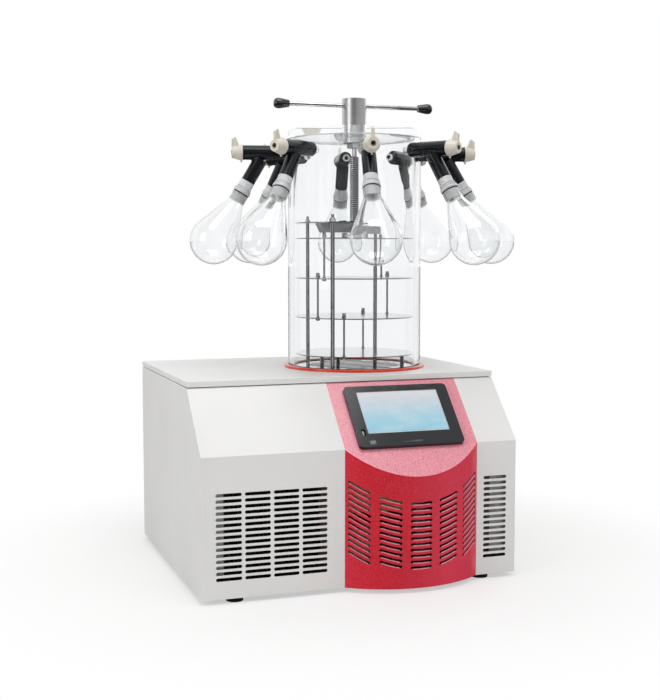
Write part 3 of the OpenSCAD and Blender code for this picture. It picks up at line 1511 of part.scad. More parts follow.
module joint_adapters() {
  color([0.75, 0.77, 0.78])
    for (i = [0 : ports - 1]) port_frame(i) branch_frame() difference() {
      rotate_extrude() polygon([[0, branch_l - adapter_stem_l], [adapter_stem_r, branch_l - adapter_stem_l],
        [adapter_stem_r, branch_l], [adapter_r, branch_l], [adapter_r, t_ring], [adapter_ring_r, t_ring],
        [adapter_ring_r, t_seal], [neck_r - 1, t_seal], [neck_r - 1, t_mouth], [neck_bore_r - 0.3, t_mouth],
        [neck_bore_r - 1.6, t_mouth + cone_l], [0, t_mouth + cone_l]]);
      translate([0, 0, branch_l - adapter_stem_l - 1]) cylinder(r = passage_r, h = 200);
      translate([0, 0, t_ring]) cylinder(r = neck_bore_r - 4.5, h = 200);
    }
}

// half outline of a flask grown by d: neck, cone and round bulb; y runs down the axis
module flask_half(rn, rb, y0) {
  c = bulb_at;
  yn = neck_l;
  dist = sqrt(rn * rn + (c - yn) * (c - yn));
  a = atan2(yn - c, rn) + acos(rb / dist);
  polygon([[0, y0], [rn, y0], [rn, yn], [rb * cos(a), c + rb * sin(a)], [0, c]]);
  intersection() {
    translate([0, c]) circle(r = rb, $fn = 96);
    translate([0, yn]) square([rb + 1, 200]);
  }
}

module flasks() {
  color(clear)
    for (i = [0 : ports - 1]) port_frame(i) branch_frame() translate([0, 0, t_mouth])
      rotate_extrude($fn = 96) difference() {
        flask_half(neck_r, bulb_r, 0);
        flask_half(neck_bore_r, bulb_r - flask_wall, -1);
      }
}

chassis();
feet();
front_cover();
red_panel();
side_cover_left();
side_cover_right();
back_panel();
worktop();
hmi_bezel();
hmi_screen();
trap_well();
trap_foam();
evaporator_coil();
compressor();
condenser();
fan_frame();
fan_rotor();
controller_box();
vacuum_port();
drain_valve();
drain_lever();
power_inlet();
power_switch();
gasket_ring();
chamber_tube();
lid_seal();
chamber_lid();
gland();
gland_nut();
handle_hub();
handle_bar();
bar_caps();
drive_shaft();
lead_screw();
yoke();
top_plate();
rack_posts();
post_nuts();
press_plate();
thrust_pad();
shelf_b();
shelf_c();
shelf_d();
rods_ab();
rods_bc();
rods_cd();
rack_base();
port_nipples();
valve_bodies();
joint_adapters();
flasks();
valve_knob_1();
valve_knob_2();
valve_knob_3();
valve_knob_4();
valve_knob_5();
valve_knob_6();
valve_knob_7();
valve_knob_8();
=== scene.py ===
"""Finishes, detailed pieces, lights and camera for the bench freeze dryer."""
import json
import math

import bmesh
import bpy
from mathutils import Matrix, Vector


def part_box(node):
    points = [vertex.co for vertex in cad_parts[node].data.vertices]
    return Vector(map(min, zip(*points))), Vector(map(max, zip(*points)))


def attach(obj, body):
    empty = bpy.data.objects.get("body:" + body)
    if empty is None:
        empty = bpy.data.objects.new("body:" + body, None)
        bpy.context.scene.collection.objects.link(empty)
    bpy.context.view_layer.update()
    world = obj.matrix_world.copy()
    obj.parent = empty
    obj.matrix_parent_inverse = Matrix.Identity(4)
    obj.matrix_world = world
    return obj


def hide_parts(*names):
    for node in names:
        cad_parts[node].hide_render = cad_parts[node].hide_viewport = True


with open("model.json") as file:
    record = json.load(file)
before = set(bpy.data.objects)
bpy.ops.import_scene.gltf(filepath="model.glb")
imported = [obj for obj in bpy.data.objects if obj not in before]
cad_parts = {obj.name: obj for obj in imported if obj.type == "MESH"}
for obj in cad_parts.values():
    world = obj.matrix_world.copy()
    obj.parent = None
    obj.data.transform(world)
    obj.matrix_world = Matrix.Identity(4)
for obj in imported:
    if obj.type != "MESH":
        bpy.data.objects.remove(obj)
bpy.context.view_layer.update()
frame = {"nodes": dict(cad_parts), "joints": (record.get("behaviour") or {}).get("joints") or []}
cad = frame["nodes"]
joints = {joint["name"]: joint for joint in frame["joints"]}

MM = 0.001
AXIS_X, AXIS_Y = joints["handle_turn"]["pos_m"][:2]


# ---------- node helpers ----------

def wire(tree, kind, *inputs, **settings):
    """Adds a node with its settings, and feeds its sockets in order with outputs or values."""
    node = tree.nodes.new(kind)
    for key, value in settings.items():
        setattr(node, key, value)
    for socket, value in zip(node.inputs, inputs):
        if isinstance(value, bpy.types.NodeSocket):
            tree.links.new(value, socket)
        elif value is not None:
            socket.default_value = value
    return node


def maths(tree, operation, *values, clamp=False):
    return wire(tree, "ShaderNodeMath", *values, operation=operation, use_clamp=clamp).outputs[0]


def vector_maths(tree, operation, *values):
    """Gives a vector, or a number for LENGTH and DOT_PRODUCT."""
    outputs = wire(tree, "ShaderNodeVectorMath", *values, operation=operation).outputs
    return outputs["Value" if operation in ("LENGTH", "DOT_PRODUCT") else "Vector"]


def split(tree, vector):
    return wire(tree, "ShaderNodeSeparateXYZ", vector).outputs


def colour_sockets(sockets):
    return [socket for socket in sockets if socket.type == "RGBA"]


def blend(tree, factor, first, second):
    """Mixes two colours, each given as an RGB tuple or an output."""
    node = wire(tree, "ShaderNodeMix", factor, data_type="RGBA")
    for socket, value in zip(colour_sockets(node.inputs), (first, second)):
        if isinstance(value, tuple):
            socket.default_value = (*value, 1.0)
        else:
            tree.links.new(value, socket)
    return colour_sockets(node.outputs)[0]


def ramp(tree, value, stops):
    """A colour ramp through (position, RGB tuple) stops, given in order."""
    node = wire(tree, "ShaderNodeValToRGB", value)
    elements = node.color_ramp.elements
    while len(elements) < len(stops):
        elements.new(0.5)
    for element, (position, colour) in zip(elements, stops):
        element.position = position
        element.color = (*colour, 1.0)
    return node.outputs[0]


def mix_shaders(tree, factor, first, second):
    return wire(tree, "ShaderNodeMixShader", factor, first, second).outputs[0]


def rays(tree):
    """Gives 1 for rays from the camera or through glass, and 1 for rays off glossy surfaces."""
    path = wire(tree, "ShaderNodeLightPath").outputs
    direct = maths(tree, "MAXIMUM", path["Is Camera Ray"], path["Is Transmission Ray"])
    return direct, path["Is Glossy Ray"]


# ---------- material helpers ----------

BLACK = (0.0, 0.0, 0.0)
# The range that most values of a noise texture fall in.
NOISE_LOW, NOISE_HIGH = 0.3, 0.7


class Finish:
    """One node material: a Principled shader plus a few textures, in scales per metre."""

    def __init__(self, name):
        self.material = bpy.data.materials.new(name)
        self.material.use_nodes = True
        self.tree = self.material.node_tree
        self.shader = self.tree.nodes["Principled BSDF"]
        self.place = wire(self.tree, "ShaderNodeTexCoord").outputs["Object"]

    def set(self, **inputs):
        """Sets plain values on the shader's own sockets."""
        for key, value in inputs.items():
            self.shader.inputs[key.replace("_", " ")].default_value = value

    def soften(self, weight, radius):
        """Lets light in below the surface, by a radius for red, green and blue."""
        self.set(Subsurface_Weight=weight, Subsurface_Radius=radius, Subsurface_Scale=1.0)

    def mapped(self, scale=(1, 1, 1), centre=(0, 0, 0)):
        """Object coordinates moved to centre and scaled."""
        moved = vector_maths(self.tree, "SUBTRACT", self.place, centre)
        return vector_maths(self.tree, "MULTIPLY", moved, scale)

    def turned(self):
        """Coordinates of a lathe-turned surface: distance from the chamber axis, and height."""
        moved = self.mapped(centre=(AXIS_X, AXIS_Y, 0))
        flat = vector_maths(self.tree, "MULTIPLY", moved, (1, 1, 0))
        radius = vector_maths(self.tree, "LENGTH", flat)
        height = split(self.tree, moved)["Z"]
        return wire(self.tree, "ShaderNodeCombineXYZ", radius, height).outputs[0]

    def noise(self, scale, detail=2.0, roughness=0.5, vector=None):
        vector = self.place if vector is None else vector
        node = wire(self.tree, "ShaderNodeTexNoise", vector)
        for name, value in (("Scale", scale), ("Detail", detail), ("Roughness", roughness)):
            node.inputs[name].default_value = value
        return node.outputs["Fac"]

    def cells(self, scale, vector=None):
        """Outputs of a cell pattern: a random Color for each cell, the Distance to its middle."""
        node = wire(self.tree, "ShaderNodeTexVoronoi", self.place if vector is None else vector)
        node.inputs["Scale"].default_value = scale
        return node.outputs

    def span(self, factor, low, high, start=NOISE_LOW, end=NOISE_HIGH):
        """Maps factor from start..end to low..high."""
        return wire(self.tree, "ShaderNodeMapRange", factor, start, end, low, high).outputs[0]

    def blend(self, factor, first, second):
        return blend(self.tree, factor, first, second)

    def edge_on(self, start=0.0, end=1.0):
        """Goes from 0 where a face looks at the eye to 1 where it is seen edge on."""
        facing = wire(self.tree, "ShaderNodeLayerWeight", 0.5).outputs["Facing"]
        return self.span(facing, 0.0, 1.0, start, end)

    def level(self, start, end):
        """Goes from 0 to 1 as a face turns upward, between two heights of its normal."""
        normal = wire(self.tree, "ShaderNodeNewGeometry").outputs["Normal"]
        return self.span(split(self.tree, normal)["Z"], 0.0, 1.0, start, end)

    def colour(self, output, socket="Base Color"):
        self.tree.links.new(output, self.shader.inputs[socket])

    def tones(self, factor, first, second, start=NOISE_LOW, end=NOISE_HIGH):
        """Base colour from first to second as factor goes from start to end."""
        self.colour(self.blend(self.span(factor, 0.0, 1.0, start, end), first, second))

    def rough(self, factor, smooth, dull, start=NOISE_LOW, end=NOISE_HIGH):
        """Roughness from smooth to dull as factor goes from start to end."""
        spread = self.span(factor, smooth, dull, start, end)
        self.tree.links.new(spread, self.shader.inputs["Roughness"])

    def bump(self, height, distance, strength):
        node = wire(self.tree, "ShaderNodeBump")
        node.inputs["Strength"].default_value = strength
        node.inputs["Distance"].default_value = distance
        self.tree.links.new(height, node.inputs["Height"])
        self.tree.links.new(node.outputs["Normal"], self.shader.inputs["Normal"])


def scaled(colour, factor):
    return tuple(channel * factor for channel in colour)


def painted_white():
    """Satin powder coat: a fine orange peel with a little unevenness in tone and gloss."""
    f = Finish("painted_white")
    white = (0.845, 0.842, 0.832)
    fine = f.noise(950.0)
    f.tones(f.noise(7.0, 3.0), scaled(white, 0.965), white, 0.35, 0.65)
    f.rough(fine, 0.37, 0.48)
    f.bump(fine, 0.00006, 0.35)
    return f.material


def painted_red():
    """Glittering crimson paint under satin lacquer. Its flakes are painted lighter as glints, it is
    paler off its face as a painted sheen, and pale pink where it leans back as a painted reflection
    of the light above.
    """
    f = Finish("painted_red")
    flakes_and_glints = f.cells(820.0)["Color"]
    # Paler red toward edge on: a painted sheen.
    edge_sheen_red = f.blend(f.edge_on(0.02, 0.24), (0.66, 0.001, 0.016), (0.82, 0.036, 0.080))
    uneven = f.blend(f.span(f.noise(5.0), 0.0, 0.12), edge_sheen_red, BLACK)
    # Lighter red specks at the cells: the paint's flakes, painted lighter as glints.
    upright = f.blend(f.span(flakes_and_glints, 0.0, 0.32, 0.50, 0.95), uneven, (0.92, 0.14, 0.22))
    # Faces that lean back toward the light above turn pale pink with lighter flakes: a painted
    # reflection of that light, with painted glints.
    pale = f.blend(f.span(flakes_and_glints, 0.0, 1.0, 0.25, 0.75), (0.76, 0.20, 0.27), (0.92, 0.38, 0.45))
    f.colour(f.blend(f.level(0.15, 0.62), upright, pale))
    fine = f.noise(1500.0)
    f.rough(fine, 0.34, 0.46)
    f.bump(fine, 0.00008, 0.5)
    f.set(Specular_IOR_Level=0.0, Coat_Weight=1.0, Coat_Roughness=0.24, Coat_IOR=1.7)
    return f.material


def black_rubber():
    """Moulded rubber: near black with a soft sheen and a dusty unevenness."""
    f = Finish("black_rubber")
    broad = f.noise(40.0, 3.0)
    f.tones(broad, (0.0032, 0.0040, 0.0060), (0.0062, 0.0075, 0.0105), 0.35, 0.65)
    f.rough(broad, 0.17, 0.24)
    f.bump(f.noise(700.0, 3.0), 0.00003, 0.2)
    f.set(Specular_IOR_Level=0.38)
    return f.material


def red_silicone():
    """Glossy silicone that lets a little light in."""
    f = Finish("red_silicone")
    broad = f.noise(30.0)
    f.tones(broad, (0.62, 0.030, 0.010), (0.74, 0.055, 0.018))
    f.rough(broad, 0.16, 0.24)
    f.bump(f.noise(300.0), 0.00008, 0.2)
    f.soften(0.35, (0.010, 0.002, 0.001))
    return f.material


def metal(name, texture, bands, roughness, depth=0.00003, level=None, metallic=1.0):
    """Bare metal. bands gives its grey from face on to edge on, a painted reflection of dark and
    light surroundings, and level that of level faces, a painted reflection of the light above.
    """
    f = Finish(name)
    grain = texture(f)
    # The grey follows the angle of view: a painted reflection of dark and light surroundings.
    painted_reflection_greys = [(position, (grey, grey * 1.005, grey * 1.015)) for position, grey in bands]
    tone = ramp(f.tree, f.edge_on(), painted_reflection_greys)
    # Level faces take the level grey: a painted reflection of the light above.
    if level:
        tone = f.blend(f.level(0.6, 0.9), tone, (level, level, level))
    f.colour(f.blend(f.span(grain, 0.0, 0.30, NOISE_HIGH, NOISE_LOW), tone, BLACK))
    f.rough(grain, roughness - 0.05, roughness + 0.05)
    f.bump(grain, depth, 0.4)
    f.set(Metallic=metallic)
    return f.material


def brushing(stretch=(20.0, 900.0, 900.0)):
    """Brush lines along one direction."""
    return lambda f: f.noise(1.0, 3.0, 0.6, f.mapped(scale=stretch))


def turning(lines_per_m=2200.0):
    """Fine lathe rings round the chamber axis."""
    return lambda f: f.noise(lines_per_m, 2.0, 0.6, f.turned())


def haze(f):
    """Broad, faint clouds."""
    return f.noise(60.0, 3.0)


def cast_metal():
    """Machined light alloy with a slightly open grain."""
    f = Finish("cast")
    grain = f.noise(900.0, 4.0, 0.7)
    f.tones(f.noise(60.0, 3.0), (0.20, 0.20, 0.205), (0.34, 0.34, 0.345))
    f.rough(grain, 0.34, 0.48)
    f.bump(grain, 0.0001, 0.5)
    f.set(Metallic=1.0)
    return f.material


def black_plastic(name, colour, roughness, shine):
    """Moulded black plastic with a fine spark-eroded grain."""
    f = Finish(name)
    grain = f.noise(1600.0, 2.0, 0.6)
    f.tones(f.noise(30.0), colour, scaled(colour, 1.4))
    f.rough(grain, roughness - 0.05, roughness + 0.08)
    f.bump(grain, 0.00006, 0.4)
    f.set(Specular_IOR_Level=shine)
    return f.material


def glossy_black():
    """Polished black plastic under a clear skin."""
    f = Finish("glossy_black")
    broad = f.noise(40.0)
    f.tones(broad, (0.008, 0.008, 0.010), (0.014, 0.014, 0.017))
    f.rough(broad, 0.12, 0.20)
    f.set(Coat_Weight=0.6, Coat_Roughness=0.08)
    return f.material


# Colours of the screen from its foot (0) to its top (1).
SKY = ((0.0, (0.30, 0.60, 0.76)), (0.30, (0.37, 0.66, 0.78)), (0.55, (0.50, 0.68, 0.78)),
       (0.80, (0.66, 0.70, 0.76)), (1.0, (0.74, 0.73, 0.76)))


def screen_glass():
    """Lit screen: a cloudy sky fading to light blue with small glints, under glass."""
    low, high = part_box("hmi_screen")
    f = Finish("screen")
    place = f.mapped(centre=tuple(low))
    parts = split(f.tree, place)
    up = f.span(parts["Z"], 0.0, 1.0, 0.0, high.z - low.z)
    across = f.span(parts["X"], 0.0, 1.0, 0.0, high.x - low.x)
    cloud = f.noise(22.0, 5.0, 0.6, f.mapped(scale=(1, 1, 2.2)))
    sky = f.blend(f.span(cloud, 0.0, 0.35, 0.45, 0.75), ramp(f.tree, up, SKY), (0.86, 0.90, 0.93))
    cells = f.cells(170.0, place)
    glint = f.span(cells["Distance"], 1.0, 0.0, 0.04, 0.20)
    rare = f.span(cells["Color"], 0.0, 1.0, 0.62, 0.70)
    lower = f.span(up, 1.0, 0.0, 0.25, 0.62)
    right = f.span(across, 0.0, 1.0, 0.15, 0.65)
    for mask in (rare, lower, right):
        glint = maths(f.tree, "MULTIPLY", glint, mask)
    f.set(Base_Color=(0.02, 0.025, 0.03, 1.0), Roughness=0.12, Emission_Strength=0.86)
    f.colour(f.blend(glint, sky, (1.0, 1.0, 1.0)), "Emission Color")
    return f.material


def clear(name, colour, edge, edge_from, ior, shine):
    """A clear material with a few hairline marks, greyer where its wall is seen edge on: a painted
    shade for the dark outlines of its edges.
    """
    f = Finish(name)
    f.rough(f.noise(200.0, 3.0, vector=f.mapped(scale=(1, 1, 0.4))), 0.0, 0.02, 0.5, 0.8)
    # Greyer toward edge on: painted shade on the wall's outlines.
    f.colour(f.blend(f.edge_on(edge_from, 1.0), colour, edge))
    f.set(Transmission_Weight=1.0, IOR=ior, Specular_IOR_Level=shine)
    return f.material


def clear_acrylic():
    # The second colour is the painted shade of its edges.
    return clear("clear_acrylic", (0.955, 0.962, 0.968), (0.60, 0.62, 0.64), 0.74, 1.20, 0.5)


def clear_glass():
    # The second colour is the painted shade of the flasks' edges.
    return clear("clear_glass", (0.968, 0.974, 0.978), (0.20, 0.22, 0.23), 0.66, 1.47, 0.45)


def ground_glass():
    """Glass ground matt, as on a joint."""
    f = Finish("ground_glass")
    grain = f.noise(1200.0)
    f.rough(grain, 0.38, 0.52)
    f.bump(grain, 0.00004, 0.4)
    f.set(Base_Color=(0.80, 0.81, 0.81, 1.0), Transmission_Weight=0.72, IOR=1.46)
    return f.material


def frosted_plastic():
    """Milky plastic that lets some light through."""
    f = Finish("frosted")
    f.tones(f.noise(50.0), (0.62, 0.63, 0.64), (0.76, 0.77, 0.78))
    f.rough(f.noise(800.0), 0.30, 0.42)
    f.soften(0.4, (0.004, 0.004, 0.004))
    f.set(Transmission_Weight=0.15)
    return f.material


def white_silicone():
    f = Finish("white_silicone")
    broad = f.noise(60.0)
    f.tones(broad, (0.72, 0.73, 0.74), (0.82, 0.83, 0.84))
    f.rough(broad, 0.28, 0.36)
    f.soften(0.3, (0.003, 0.003, 0.003))
    return f.material


def cream_plastic():
    """Moulded cream plastic that has yellowed slightly."""
    f = Finish("cream_plastic")
    grain = f.noise(900.0)
    f.tones(f.noise(25.0, 3.0), (0.60, 0.565, 0.49), (0.68, 0.645, 0.57))
    f.rough(grain, 0.30, 0.40)
    f.bump(grain, 0.00004, 0.3)
    f.soften(0.15, (0.003, 0.002, 0.001))
    return f.material


def plain_plastic(name, colour, roughness=0.35):
    """Moulded plastic with a fine grain."""
    f = Finish(name)
    grain = f.noise(1200.0)
    f.tones(f.noise(30.0), scaled(colour, 0.85), colour)
    f.rough(grain, roughness - 0.05, roughness + 0.07)
    f.bump(grain, 0.00004, 0.3)
    return f.material


def foam():
    """Cut rigid foam: an open cell grain."""
    f = Finish("foam")
    f.tones(f.noise(20.0, 3.0), (0.74, 0.64, 0.40), (0.84, 0.76, 0.54))
    f.bump(f.cells(900.0)["Distance"], 0.0004, 0.6)
    f.set(Roughness=0.9)
    return f.material


def stained_metal(name, stain_scale, detail, stain_roughness, dark, light, smooth, dull):
    """Drawn or cast yellow metal with broad stains in tone and gloss."""
    f = Finish(name)
    stain = f.noise(stain_scale, detail, stain_roughness)
    f.tones(stain, dark, light, 0.35, 0.65)
    f.rough(stain, smooth, dull)
    f.set(Metallic=1.0)
    return f.material


def drawn_copper():
    dark, light = (0.62, 0.26, 0.14), (0.80, 0.42, 0.26)
    return stained_metal("copper", 30.0, 4.0, 0.6, dark, light, 0.25, 0.45)


def brass():
    dark, light = (0.60, 0.43, 0.16), (0.74, 0.57, 0.26)
    return stained_metal("brass", 45.0, 3.0, 0.5, dark, light, 0.28, 0.42)


def zinc_sheet():
    """Galvanised sheet with its frost-like spangle, near black where it faces up: painted shade
    inside the cabinet.
    """
    f = Finish("zinc_sheet")
    spangle = f.cells(90.0)["Color"]
    sheet = f.blend(f.span(spangle, 0.0, 1.0, 0.2, 0.8), (0.50, 0.52, 0.53), (0.66, 0.67, 0.68))
    # Upward faces go near black: painted shade inside the cabinet.
    f.colour(f.blend(f.level(0.5, 0.9), sheet, (0.03, 0.03, 0.032)))
    f.rough(spangle, 0.36, 0.52, 0.2, 0.8)
    f.set(Metallic=0.9)
    return f.material


# Grey of each bare metal from face on (0) to edge on (1): a painted reflection of dark and light
# surroundings, which changes with the angle of view.
PLATE = ((0.0, 0.04), (0.09, 0.06), (0.15, 0.20), (0.40, 0.24), (0.72, 0.50), (0.90, 0.80),
         (1.0, 0.88))
SHEET = ((0.0, 0.46), (0.50, 0.56), (1.0, 0.70))
TURNED = ((0.0, 0.62), (0.20, 0.36), (0.45, 0.14), (0.70, 0.62), (1.0, 0.20))
ROD = ((0.0, 0.34), (0.06, 0.20), (0.14, 0.05), (0.40, 0.05), (0.55, 0.55), (0.78, 0.60),
       (1.0, 0.04))
CHROME = ((0.0, 0.05), (0.03, 0.06), (0.10, 0.60), (0.45, 0.78), (0.75, 0.40), (0.92, 0.06),
          (1.0, 0.05))
SATIN = ((0.0, 0.74), (0.08, 0.58), (0.36, 0.46), (0.55, 0.72), (0.70, 0.74), (0.85, 0.36),
         (1.0, 0.10))
# THREAD is light at every angle: painted highlights on the screw's ridge.
THREAD = ((0.0, 0.92), (0.4, 0.80), (0.75, 0.95), (1.0, 0.60))
BRIGHT = ((0.0, 0.72), (1.0, 0.60))
# DARK is near black for the screw's core: painted shade in the thread's roots.
DARK = ((0.0, 0.010), (1.0, 0.02))
# FINS is near black for the condenser's fins: painted shade inside the cabinet.
FINS = ((0.0, 0.03), (1.0, 0.10))

MATERIALS = {
    "painted_white": painted_white(),
    "painted_red": painted_red(),
    "black_rubber": black_rubber(),
    "red_silicone": red_silicone(),
    # Level faces of steel are 0.84 grey: a painted reflection of the light above.
    "steel": metal("steel", brushing(), PLATE, 0.16, 0.000004, 0.84),
    "port_steel": metal("port_steel", haze, SHEET, 0.30, 0.0, metallic=0.35),
    "sheet_steel": metal("sheet_steel", brushing(), SHEET, 0.26),
    "turned_steel": metal("turned_steel", turning(), TURNED, 0.24),
    "rod_steel": metal("rod_steel", turning(600.0), ROD, 0.20, 0.00001),
    "screw_zinc": metal("screw_zinc", haze, SHEET, 0.30, 0.0),
    "thread_steel": metal("thread_steel", turning(900.0), THREAD, 0.22),
    "bright_steel": metal("bright_steel", haze, BRIGHT, 0.20, 0.0),
    "dark_steel": metal("dark_steel", turning(900.0), DARK, 0.45),
    "chrome": metal("chrome", haze, CHROME, 0.10, 0.0),
    "aluminium": metal("aluminium", turning(), SATIN, 0.34),
    "cast": cast_metal(),
    "black_plastic": black_plastic("black_plastic", (0.0075, 0.0085, 0.0115), 0.30, 0.28),
    "bezel_plastic": black_plastic("bezel_plastic", (0.0055, 0.0065, 0.0095), 0.14, 0.55),
    "glossy_black": glossy_black(),
    "screen": screen_glass(),
    "foam": foam(),
    "copper": drawn_copper(),
    "brass": brass(),
    "clear_acrylic": clear_acrylic(),
    "clear_glass": clear_glass(),
    "ground_glass": ground_glass(),
    "frosted": frosted_plastic(),
    "white_silicone": white_silicone(),
    "cream_plastic": cream_plastic(),
    "red_plastic": plain_plastic("red_plastic", (0.55, 0.025, 0.02)),
    "zinc_sheet": zinc_sheet(),
    "black_shell": plain_plastic("black_shell", (0.02, 0.02, 0.022), 0.3),
    "fins": metal("fins", brushing((300.0, 300.0, 40.0)), FINS, 0.40),
    "brown_insert": plain_plastic("brown_insert", (0.13, 0.07, 0.045), 0.4),
    "grey_plate": plain_plastic("grey_plate", (0.045, 0.048, 0.055), 0.22),
    "window": plain_plastic("window", (0.17, 0.23, 0.22), 0.15),
    "white_line": plain_plastic("white_line", (0.80, 0.81, 0.82), 0.4),
}


# ---------- finishing the CAD nodes ----------

WELD_DISTANCE = 0.00001
BEVEL_ANGLE = math.radians(35.0)


def dress(node, material, width=0.0, segments=2):
    """Gives a CAD node its material and, with a width in mm, slightly rounded edges."""
    obj = cad[node]
    obj.data.materials.clear()
    obj.data.materials.append(MATERIALS[material])
    if not width:
        return
    normals = obj.data.attributes.get("custom_normal")
    if normals:
        obj.data.attributes.remove(normals)
    for polygon in obj.data.polygons:
        polygon.use_smooth = True
    weld = obj.modifiers.new("weld", "WELD")
    weld.merge_threshold = WELD_DISTANCE
    bevel = obj.modifiers.new("edges", "BEVEL")
    bevel.width = width * MM
    bevel.segments = segments
    bevel.limit_method = "ANGLE"
    bevel.angle_limit = BEVEL_ANGLE
    bevel.harden_normals = True


# Material of each CAD node, and the width of its edges in mm.
DRESSES = {
    # The chassis's upward faces are near black in zinc_sheet: painted shade inside the cabinet.
    "chassis": ("zinc_sheet", 0.3), "feet": ("black_rubber", 1.0),
    "front_cover": ("painted_white", 0.6), "red_panel": ("painted_red", 0.0),
    "side_cover_left": ("painted_white", 1.0), "side_cover_right": ("painted_white", 1.0),
    "back_panel": ("painted_white", 0.0), "worktop": ("painted_white", 0.9),
    "hmi_bezel": ("bezel_plastic", 0.9), "hmi_screen": ("screen", 0.0),
    "trap_well": ("sheet_steel", 0.4), "trap_foam": ("foam", 0.0),
    "evaporator_coil": ("copper", 0.0), "compressor": ("black_shell", 0.8),
    # The condenser's fins are near black: painted shade inside the cabinet.
    "condenser": ("fins", 0.0), "fan_frame": ("black_shell", 0.3),
    "fan_rotor": ("black_plastic", 0.3), "controller_box": ("black_shell", 0.5),
    "vacuum_port": ("port_steel", 0.4), "drain_valve": ("brass", 0.3),
    "drain_lever": ("red_plastic", 0.5), "power_inlet": ("black_plastic", 0.5),
    "power_switch": ("red_plastic", 0.5), "gasket_ring": ("red_silicone", 0.6),
    "chamber_tube": ("clear_acrylic", 0.0), "lid_seal": ("white_silicone", 0.3),
    "chamber_lid": ("clear_acrylic", 0.0), "gland": ("aluminium", 0.5),
    "gland_nut": ("turned_steel", 0.5), "handle_hub": ("aluminium", 0.6),
    "handle_bar": ("chrome", 0.3), "bar_caps": ("glossy_black", 0.8),
    "drive_shaft": ("turned_steel", 0.2), "yoke": ("cast", 0.6),
    "top_plate": ("steel", 0.3), "rack_posts": ("rod_steel", 0.3),
    "post_nuts": ("turned_steel", 0.4), "press_plate": ("steel", 0.3),
    "thrust_pad": ("turned_steel", 0.4), "shelf_b": ("steel", 0.3),
    "shelf_c": ("steel", 0.3), "shelf_d": ("steel", 0.3),
    "rods_ab": ("rod_steel", 0.2), "rods_bc": ("rod_steel", 0.2),
    "rods_cd": ("rod_steel", 0.2), "rack_base": ("steel", 0.4),
    "port_nipples": ("bright_steel", 0.5), "valve_bodies": ("black_rubber", 0.8),
    "joint_adapters": ("frosted", 0.6), "lead_screw": ("turned_steel", 0.0),
    "flasks": ("clear_glass", 0.0),
}
PORTS = range(1, 9)

for node, (material, width) in DRESSES.items():
    dress(node, material, width)
for number in PORTS:
    dress(f"valve_knob_{number}", "cream_plastic", 0.9, segments=3)


# ---------- mesh helpers ----------

def finish_mesh(name, mesh, *materials):
    """Makes a smooth-shaded object of a mesh, with its materials."""
    obj = bpy.data.objects.new(name, mesh)
    bpy.context.scene.collection.objects.link(obj)
    for material in materials:
        mesh.materials.append(MATERIALS[material])
    for polygon in mesh.polygons:
        polygon.use_smooth = True
    return obj


def settle(obj, matrix):
    """Places a piece through its own mesh: its object stays at the origin and its box is tight."""
    obj.data.transform(matrix)


def arc(centre, radius, start, end, steps):
    """Points of an arc in (radius, height), angles in degrees from the radius direction."""
    points = []
    for k in range(steps + 1):
        a = math.radians(start + (end - start) * k / steps)
        points.append((centre[0] + radius * math.cos(a), centre[1] + radius * math.sin(a)))
    return points


def between(a, b, t):
    """The point at t of the way from a to b."""
    return tuple(p + (q - p) * t for p, q in zip(a, b))


def lathe_mesh(name, outline, segments=96, closed=True, parts=()):
    """Turns (radius, height) points in mm about Z. parts gives (first, last, slot) for spans."""
    mesh = bpy.data.meshes.new(name)
    work = bmesh.new()
    rings = []
    for radius, height in outline:
        if radius < 1e-6:
            rings.append([work.verts.new((0, 0, height * MM))])
            continue
        ring = []
        for k in range(segments):
            a = 2 * math.pi * k / segments
            spot = (radius * MM * math.cos(a), radius * MM * math.sin(a), height * MM)
            ring.append(work.verts.new(spot))
        rings.append(ring)
    for n in range(len(rings) if closed else len(rings) - 1):
        first, second = rings[n], rings[(n + 1) % len(rings)]
        if len(first) == 1 and len(second) == 1:
            continue
        slot = 0
        for start, end, number in parts:
            if start <= n < end:
                slot = number
        for k in range(segments):
            j = (k + 1) % segments
            if len(first) == 1:
                corners = (first[0], second[j], second[k])
            elif len(second) == 1:
                corners = (first[k], first[j], second[0])
            else:
                corners = (first[k], first[j], second[j], second[k])
            work.faces.new(corners).material_index = slot
    bmesh.ops.recalc_face_normals(work, faces=work.faces)
    work.to_mesh(mesh)
    work.free()
    return mesh


def sharpen(obj, angle=40.0):
    """Marks edges sharper than the angle, so that smooth shading stops there."""
    work = bmesh.new()
    work.from_mesh(obj.data)
    for edge in work.edges:
        if len(edge.link_faces) == 2 and edge.calc_face_angle(0) > math.radians(angle):
            edge.smooth = False
    work.to_mesh(obj.data)
    work.free()


# ---------- ports ----------

# Lengths in mm, along a port from the chamber axis or along its branch.
BRANCH_FROM_AXIS = 175.5
LEAN = math.radians(30.5)
BRANCH_END, MOUTH = 65.0, 92.0
KNOB_END = 239.3


def port_frame(number):
    """Frame of a port on the chamber axis: X outward, Z up."""
    x, y, z = joints[f"valve_knob_{number}_turn"]["pos_m"]
    angle = math.atan2(y - AXIS_Y, x - AXIS_X)
    return Matrix.Translation((AXIS_X, AXIS_Y, z)) @ Matrix.Rotation(angle, 4, "Z")


def branch_place():
    """Place of a branch in its port's frame: Z down the branch from its root."""
    root = Matrix.Translation((BRANCH_FROM_AXIS * MM, 0, 0))
    return root @ Matrix.Rotation(math.pi - LEAN, 4, "Y")


def branch_frame(number, along=0.0):
    """Frame on a port's branch, at a length along it."""
    return port_frame(number) @ branch_place() @ Matrix.Translation((0, 0, along * MM))


# ---------- flasks ----------

NECK_R, NECK_BORE_R, NECK_L = 15.8, 13.6, 19.0
BULB_R, BULB_AT, WALL = 46.45, 104.0, 1.8
# Part of the straight cone, between neck and bulb, that the bend out of the neck takes up.
BEND = 0.25


